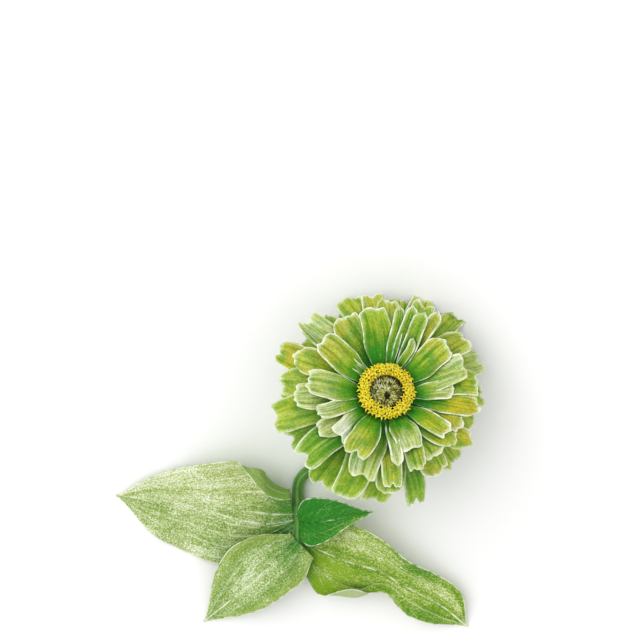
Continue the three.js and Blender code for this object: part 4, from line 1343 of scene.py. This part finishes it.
# %% Bract material and pieces
bract_green, tree, surface = new_material("leathery_bract", 0.55, Specular_IOR_Level=0.35)
to_edge, own, tip_share = (
    add(tree, "ShaderNodeAttribute", attribute_name=fact).outputs["Fac"] for fact in ("to_edge", "own", "tip")
)
place = add(tree, "ShaderNodeTexCoord").outputs["Object"]
BRACT_MOTTLE = 1.43  # millimetres
mottled = {"Vector": place, "Scale": 1 / (BRACT_MOTTLE * MM), "Detail": 3.0}
mottle = add(tree, NOISE, mottled).outputs["Fac"]
bract_colour = wash(tree, "#2f6f2a", "#86a844", (tip_share, 0.1, 0.9))
bract_colour = wash(tree, bract_colour, "#a9b94a", (own, 0.2, 1.0, 0.0, 0.3))
bract_colour = wash(tree, bract_colour, "#bccb78", (mottle, 0.45, 0.7, 0.0, 0.5))
bract_colour = wash(tree, bract_colour, "#2e2a1a", (to_edge, 0.75, 0.3, 0.0, 0.95))
tree.links.new(bract_colour, surface.inputs["Base Color"])
bumps = add(tree, "ShaderNodeBump", {"Strength": 0.4, "Distance": 0.2 * MM, "Height": mottle})
tree.links.new(bumps.outputs[0], surface.inputs["Normal"])

bract_parts = []
for row_number, (tip_height, count, width, length, turn_share) in enumerate(BRACT_ROWS):
    for i in range(count):
        bract_parts.append(bract_part(row_number, tip_height, count, width, length, i, turn_share))
piece("involucre_cup", [cup_part], bract_green, "involucre")
piece("involucre_bracts", bract_parts, bract_green, "involucre")

# %% [markdown]
# ## The leaves
# Zinnia leaves grow in pairs straight on the stem. Each is an egg-shaped blade with a sunk midrib and long
# veins that run from the base beside it. A leaf here is a line for its midrib, two runs of half widths, a
# bank, a fold, a wave and, on two of them, a margin that rolls up and over. The columns of the grid crowd
# together beside each vein, so that the grooves come out sharp.

# %% Sizes of the leaves
LEAVES = {
    "leaf_left": {
        "line": [
            [-39.0, -57.0, 4.6],
            [-51.2, -58.8, 6.4],
            [-63.5, -57.4, 6.4],
            [-82, -53, 4.6],
            [-104, -50, 2.0],
            [-121, -49.5, 0.5],
        ],
        "halves": ([4, 14, 22.5, 23.5, 20.5, 14, 0.4], [24, 42, 34, 23.5, 16.5, 9, 0.4]),
        "bank": [0.12, 0.02, 0],
        "fold": (-0.08, 0.06),
        "wave": (1.3, 2.4, 0.4),
        "curl": (1, 3.3, 0.1, 0.25),
    },
    "leaf_right": {
        "line": [
            [-34.9, -67.6, 4.6],
            [-24.9, -71.7, 5.0],
            [-13.6, -75.2, 7.0],
            [-0.3, -78.5, 8.6],
            [12.3, -85.6, 8.2],
            [26.9, -94, 5.4],
            [39, -105.2, 0.4],
        ],
        "halves": ([6, 17.5, 19.5, 13, 12.6, 10.8, 0.4], [8, 19, 21.8, 7.5, 11, 9.4, 0.4]),
        "bank": [0, -0.1, 0.1],
        "fold": (0.2, 0.1),
        "wave": (1.6, 1.5, 2.2),
        "curl": (1, 3.6, 0.33, 0.14),
    },
    "leaf_front": {
        "line": [
            [-37.9, -65.4, 7.0],
            [-45.3, -72.5, 10.0],
            [-53, -80.5, 10.8],
            [-63.5, -91, 7.5],
            [-81.2, -107.4, 0.4],
        ],
        "halves": ([11.5, 15.6, 14.4, 12.6, 9.6, 5, 0.4], [4, 13.5, 18, 17, 12.8, 5.8, 0.4]),
        "bank": [0, 0, 0],
        "fold": (0.1, 0.14),
        "wave": (0.8, 1.4, 0.9),
        "curl": (-1, 0, 0.5, 0.2),
    },
    "leaf_upper": {
        "line": [
            [-36.6, -57.6, 5.6],
            [-32.2, -56.6, 10.2],
            [-27.2, -55.2, 14],
            [-19.6, -52.8, 16.8],
            [-11.5, -50.6, 17.2],
            [-2.0, -48.8, 16.2],
        ],
        "halves": ([4, 9.5, 12.8, 12.6, 8.8, 3, 0.4], [8, 10.5, 9.6, 7.6, 4.6, 2.4, 0.4]),
        "bank": [-0.1, -0.15, -0.2],
        "fold": (0.12, 0.3),
        "wave": (0.6, 1.3, 1.4),
        "curl": (-1, 0, 0.5, 0.2),
    },
}
CURLED_SHARE = 0.5
LEAF_GROOVE = 0.5
LEAF_BODY = 0.55
LEAF_EDGE = 0.35
VEINS = (-0.5, 0.0, 0.5)
VEIN_STEPS = (0.0, 0.014, 0.032)
LEAF_REST = 0.45  # the middle surface stays this far above the table
ROUGH_LENGTH = 60  # good enough for how far a point is from a leaf's tip
print("leaves:", ", ".join(LEAVES))


# %% Shape of one leaf
def leaf_columns():
    columns = set(np.round(np.linspace(-1, 1, 61), 3)) | {-0.985, -0.968, 0.985, 0.968}
    for vein in VEINS:
        for step in VEIN_STEPS:
            columns |= {round(vein + step, 3), round(vein - step, 3)}
    ordered = sorted(columns)
    return np.array([c for i, c in enumerate(ordered) if i == 0 or c - ordered[i - 1] > 0.006])


leaf_across = leaf_columns()
leaf_shares = np.concatenate([np.linspace(0, 0.94, 90), np.linspace(0.95, 1, 9)])


def leaf_part(name, look):
    leaf = LEAVES[name]
    s, w = np.meshgrid(leaf_shares, leaf_across, indexing="ij")
    edge = np.abs(w)
    line, direction = even_line(leaf["line"], leaf_shares)
    flat_across = unit(np.stack([direction[:, 1], -direction[:, 0], np.zeros(len(direction))], -1))
    bank = -through(leaf["bank"], leaf_shares)[:, None]
    square = np.cross(direction, flat_across)
    across = flat_across * np.cos(bank) + square * np.sin(bank)
    up = unit(np.cross(across, direction))

    is_left = w < 0
    left, right = (through(widths, leaf_shares)[:, None] for widths in leaf["halves"])
    half = np.where(is_left, left, right)
    fold = np.where(is_left, *leaf["fold"])
    side_curled, turn_most, place_curled, spread = leaf["curl"]
    turn = np.where(side_curled * w > 0, turn_most * bell(s, place_curled, spread), 0)
    beyond = np.maximum(0, edge - (1 - CURLED_SHARE)) / CURLED_SHARE
    angle = turn * beyond
    bent = angle >= 1e-3
    bend_radius = CURLED_SHARE / np.where(bent, turn, 1)
    out = np.where(bent, 1 - CURLED_SHARE + bend_radius * np.sin(angle), edge)
    curl_up = np.where(bent, bend_radius * (1 - np.cos(angle)), 0)

    height, ripples, start = leaf["wave"]
    phase = 2 * math.pi * ripples * s + start + np.where(is_left, 2.2, 0)
    ripple = height * edge**1.6 * np.sin(phase) * np.sqrt(np.maximum(0, np.sin(math.pi * s)))
    to_vein = np.min([np.abs(w - vein) * half for vein in VEINS], axis=0)
    groove = -LEAF_GROOVE * (1 - 0.85 * s) * bell(to_vein, 0, 0.7)
    between = np.sin(math.pi * np.minimum(1, to_vein / 4)) * (1 - edge)
    quilt = 0.28 * np.sin(math.pi * (16 * s - 7 * edge)) * between
    line_strength = np.maximum(bell(edge * half, 0, 0.45), 0.5 * bell(to_vein, 0, 0.45))
    raised = half * (out * np.sin(fold) + curl_up) + ripple + groove + quilt
    sideways = np.sign(w) * half * out * np.cos(fold)
    middle_points = line[:, None] + across[:, None] * sideways[..., None] + up[:, None] * raised[..., None]
    middle_points = middle_points + PLAN_SHIFT
    middle_points[..., 2] = np.maximum(middle_points[..., 2], LEAF_REST)
    facts = {
        "along": np.stack([(w + 1) / 2, s], -1),
        "to_edge": np.minimum(half * (1 - edge), (1 - s) * ROUGH_LENGTH),
        **look(s, w),
    }
    facts["vein"] = line_strength * facts.pop("veined")
    return blade(middle_points, mix(LEAF_BODY, LEAF_EDGE, edge**6), facts)


# %% [markdown]
# ### The leaves' finish
# A zinnia leaf is rough and matt, with a mottled upper side and deep green near the stem and the tip. Its
# pale bands are painted light, and the deep green near the stem is partly painted shade, where the leaves
# lie over each other. The veins are paler than the blade. Finer side veins leave the midrib and sweep towards
# the tip. Each leaf has its own run of pale, deep and yellow tones, worked out from the place on the leaf.


# %% Tones of each leaf
def tones(pale, deep, yellow, veined):
    """How pale, how deep green and how yellow a leaf is, and how plain its main veins are."""
    return {"look": np.clip(np.stack([pale, deep, yellow], -1), 0, 1), "veined": veined + 0 * pale}


# pale bands here are painted light; deep green near the stem is partly painted shade under other leaves
def left_tones(s, w):
    pale = 0.46 + 0.2 * smooth(s, 0.1, 0.5) - 0.12 * bell(w, -0.35, 0.3) + 0.1 * smooth(w, 0.2, 0.9)
    deep = 0.95 * bell(s, 0.0, 0.14) + 0.9 * smooth(w, -0.2, -0.9) * bell(s, 0.2, 0.16)
    return tones(pale, deep, 0.2 + 0.3 * smooth(w, -0.2, 0.8), 1 - 0.5 * smooth(s, 0.4, 0.9))


def right_tones(s, w):
    pale = 0.34 + 0.5 * bell(w, -0.65, 0.4) * bell(s, 0.26, 0.24)
    pale += 0.45 * bell(w, -0.45, 0.3) * bell(s, 0.78, 0.16)
    pale += 0.2 * bell(w, 0.35, 0.3) * bell(s, 0.55, 0.2)
    deep = 1.0 * bell(s, 0, 0.1) * smooth(w, -0.1, 0.3) + 0.8 * bell(s, 0.6, 0.14) * smooth(w, -0.4, -0.9)
    deep += 0.5 * bell(s, 0.8, 0.2) * smooth(w, 0.2, 0.9)
    return tones(pale, deep, 0.9 * bell(s, 0.16, 0.18) * smooth(w, 0.0, 0.2) + 0.3, 1.0)


def front_tones(s, w):
    pale = 0.42 + 0.3 * bell(s, 0.5, 0.3) * bell(w, 0.1, 0.6)
    deep = 0.95 * bell(s, 0.0, 0.16) * bell(w, -0.1, 0.35) + 0.35 * smooth(s, 0.88, 1)
    return tones(pale, deep, 0.25 + 0.35 * smooth(np.abs(w), 0.5, 1), smooth(s, 0.12, 0.45))


def upper_tones(s, w):
    deep = mix(0.85, 0.2, smooth(w, -0.1, 0.7) * smooth(s, 0.1, 0.4))
    pale = 0.3 + 0.25 * smooth(s, 0.2, 1) + 0.1 * smooth(w, 0, 0.8)
    return tones(pale, deep, 0.1 + 0.3 * smooth(s, 0.3, 1), 0.8 * bell(s, 0.5, 0.25))


# %% [markdown]
# Four tones add up to how pale a spot is: patches, a fine grain, broad streaks and thin strokes along the
# veins. A ramp turns that into colour, from dark through plain to pale. A real leaf's surface is a net of
# veins about a third of a millimetre apart. It is too fine to show, so the grain is drawn 0.7 millimetres
# wide.

# %% Leaf materials
LEAF_PATCH = 9.09  # millimetres
LEAF_GRAIN = 0.69
VEIN_BREAKS = 3.33


def leaf_material(name, colours, rays, side_strength):
    """colours: dark, plain, pale, deep green, yellow, underside. The others: how plain the veins are."""
    dark, plain, pale_colour, deep_colour, yellow_colour, under_colour = colours
    material, tree, surface = new_material(name, 0.65, Specular_IOR_Level=0.12)
    along = add(tree, "ShaderNodeUVMap", uv_map="along").outputs["UV"]
    sideways, lengthwise, _ = add(tree, "ShaderNodeSeparateXYZ", {0: along}).outputs
    look = add(tree, "ShaderNodeAttribute", attribute_name="look").outputs["Vector"]
    pale, deep, yellow = add(tree, "ShaderNodeSeparateXYZ", {0: look}).outputs
    to_edge, vein, under, hidden = (
        add(tree, "ShaderNodeAttribute", attribute_name=fact).outputs["Fac"]
        for fact in ("to_edge", "vein", "under", "hidden")
    )
    place = add(tree, "ShaderNodeTexCoord").outputs["Object"]
    mottle, grain, breaks = (
        add(tree, NOISE, {"Vector": place, "Scale": 1 / (size * MM), "Detail": detail}).outputs["Fac"]
        for size, detail in ((LEAF_PATCH, 3.0), (LEAF_GRAIN, 3.0), (VEIN_BREAKS, 2.0))
    )
    broad = streaks_along(tree, along, 11.0, 1.6, 3.0)  # about 4 millimetres wide on a blade of 45
    strokes = streaks_along(tree, along, 70.0, 14.0, 3.0)  # and 0.6

    # the pale level from the look carries the painted light of the pale bands
    # the four patterns lie round a half, so the level takes their average away
    tone = add(tree, MATH, {0: pale, 1: -2.555}, operation="ADD").outputs[0]
    for pattern, strength in ((mottle, 0.75), (grain, 2.3), (broad, 1.1), (strokes, 0.7)):
        tone = add(tree, MATH, {0: pattern, 1: strength, 2: tone}, operation="MULTIPLY_ADD").outputs[0]
    leaf_tones = [(0, dark), (0.45, plain), (1, pale_colour)]
    colour = add(tree, "ShaderNodeValToRGB", {0: tone}, stops=leaf_tones).outputs[0]
    colour = wash(tree, colour, yellow_colour, yellow, (tone, 0.8, 0.3, 0.15, 0.75))
    # deep green: the leaf's own near the tip, and partly painted shade near the stem
    colour = wash(tree, colour, deep_colour, deep, (tone, 1.0, 0.2, 0.5, 0.95))

    # long veins beside the midrib: lines at even steps across, a little wavy
    wavy = add(tree, MATH, {0: sideways, 1: 8.0, 2: 0.44}, operation="MULTIPLY_ADD").outputs[0]
    wavy = add(tree, MATH, {0: mottle, 1: 0.12, 2: wavy}, operation="MULTIPLY_ADD").outputs[0]
    to_ray = add(tree, MATH, {0: wavy, 1: 0.5}, operation="PINGPONG").outputs[0]
    # side veins: lines at even steps along, swept forwards the farther they are from the midrib
    aside = add(tree, MATH, {0: sideways, 1: 2.0, 2: -1.0}, operation="MULTIPLY_ADD").outputs[0]
    aside = add(tree, MATH, {0: aside}, operation="ABSOLUTE").outputs[0]
    swept = add(tree, MATH, {0: aside, 1: 0.8}, operation="POWER").outputs[0]
    forward = add(tree, MATH, {0: lengthwise, 1: 8.0}, operation="MULTIPLY").outputs[0]
    swept = add(tree, MATH, {0: swept, 1: -3.4, 2: forward}, operation="MULTIPLY_ADD").outputs[0]
    swept = add(tree, MATH, {0: mottle, 1: 0.6, 2: swept}, operation="MULTIPLY_ADD").outputs[0]
    to_side_vein = add(tree, MATH, {0: swept, 1: 0.5}, operation="PINGPONG").outputs[0]
    side_vein = overlap(tree, (to_side_vein, 0.06, 0.0, 0.0, side_strength))
    broken = overlap(tree, (breaks, 0.38, 0.58, 0.1, 1.0))
    colour = wash(tree, colour, "#e9eed2", (to_ray, 0.09, 0.0), (lengthwise, 0.95, 0.2, 0.0, rays), broken)
    colour = wash(tree, colour, "#e9eed2", side_vein, broken)
    colour = wash(tree, colour, under_colour, under, 0.7)
    colour = wash(tree, colour, "#edf1d8", (vein, 0.15, 0.9, 0.0, 0.9), broken)
    colour = wash(tree, colour, "#eef2d6", (to_edge, 0.6, 0.2, 0.0, 0.85), broken)
    # painted shade where other leaves, the stem or petals lie close above
    colour = wash(tree, colour, "#145a1c", (hidden, 0.08, 0.6, 0.0, 0.8))
    tree.links.new(colour, surface.inputs["Base Color"])
    relief = add(tree, MATH, {0: side_vein, 1: -1.2, 2: grain}, operation="MULTIPLY_ADD").outputs[0]
    bumps = add(tree, "ShaderNodeBump", {"Strength": 0.5, "Distance": 0.25 * MM, "Height": relief})
    tree.links.new(bumps.outputs[0], surface.inputs["Normal"])
    return material


OLIVE_LEAF = ("#4f8030", "#a9bf76", "#eef3dc", "#2f7d1e", "#b9bf58", "#86ab48")
BRIGHT_LEAF = ("#487e1a", "#9cb648", "#e6ebc0", "#37801c", "#8cb01c", "#b9c39a")
PALE_LEAF = ("#427c2a", "#9ab768", "#e8efd2", "#238019", "#aebd54", "#a8b878")
YOUNG_LEAF = ("#1c6e18", "#4a9428", "#a3c666", "#227e22", "#6ea22a", "#7fa552")
LEAF_LOOKS = {
    "leaf_left": (left_tones, leaf_material("rough_leaf_olive", OLIVE_LEAF, 0.75, 0.0)),
    "leaf_right": (right_tones, leaf_material("rough_leaf_bright", BRIGHT_LEAF, 0.1, 0.3)),
    "leaf_front": (front_tones, leaf_material("rough_leaf_pale", PALE_LEAF, 0.2, 0.25)),
    "leaf_upper": (upper_tones, leaf_material("young_leaf", YOUNG_LEAF, 0.0, 0.2)),
}
blades = [leaf_part(name, look) for name, (look, _) in LEAF_LOOKS.items()]
leaf_grid = (len(leaf_shares), len(leaf_across))
LEAF_REACH = 9  # millimetres of the space above a leaf
# how much petals, the stem and the other leaves cover each leaf, for its painted shade
note_hidden(blades, blades + [stem_part] + all_petals, leaf_grid, LEAF_REACH)
for part, (name, (_, material)) in zip(blades, LEAF_LOOKS.items()):
    piece(name + "_blade", [part], material, name)
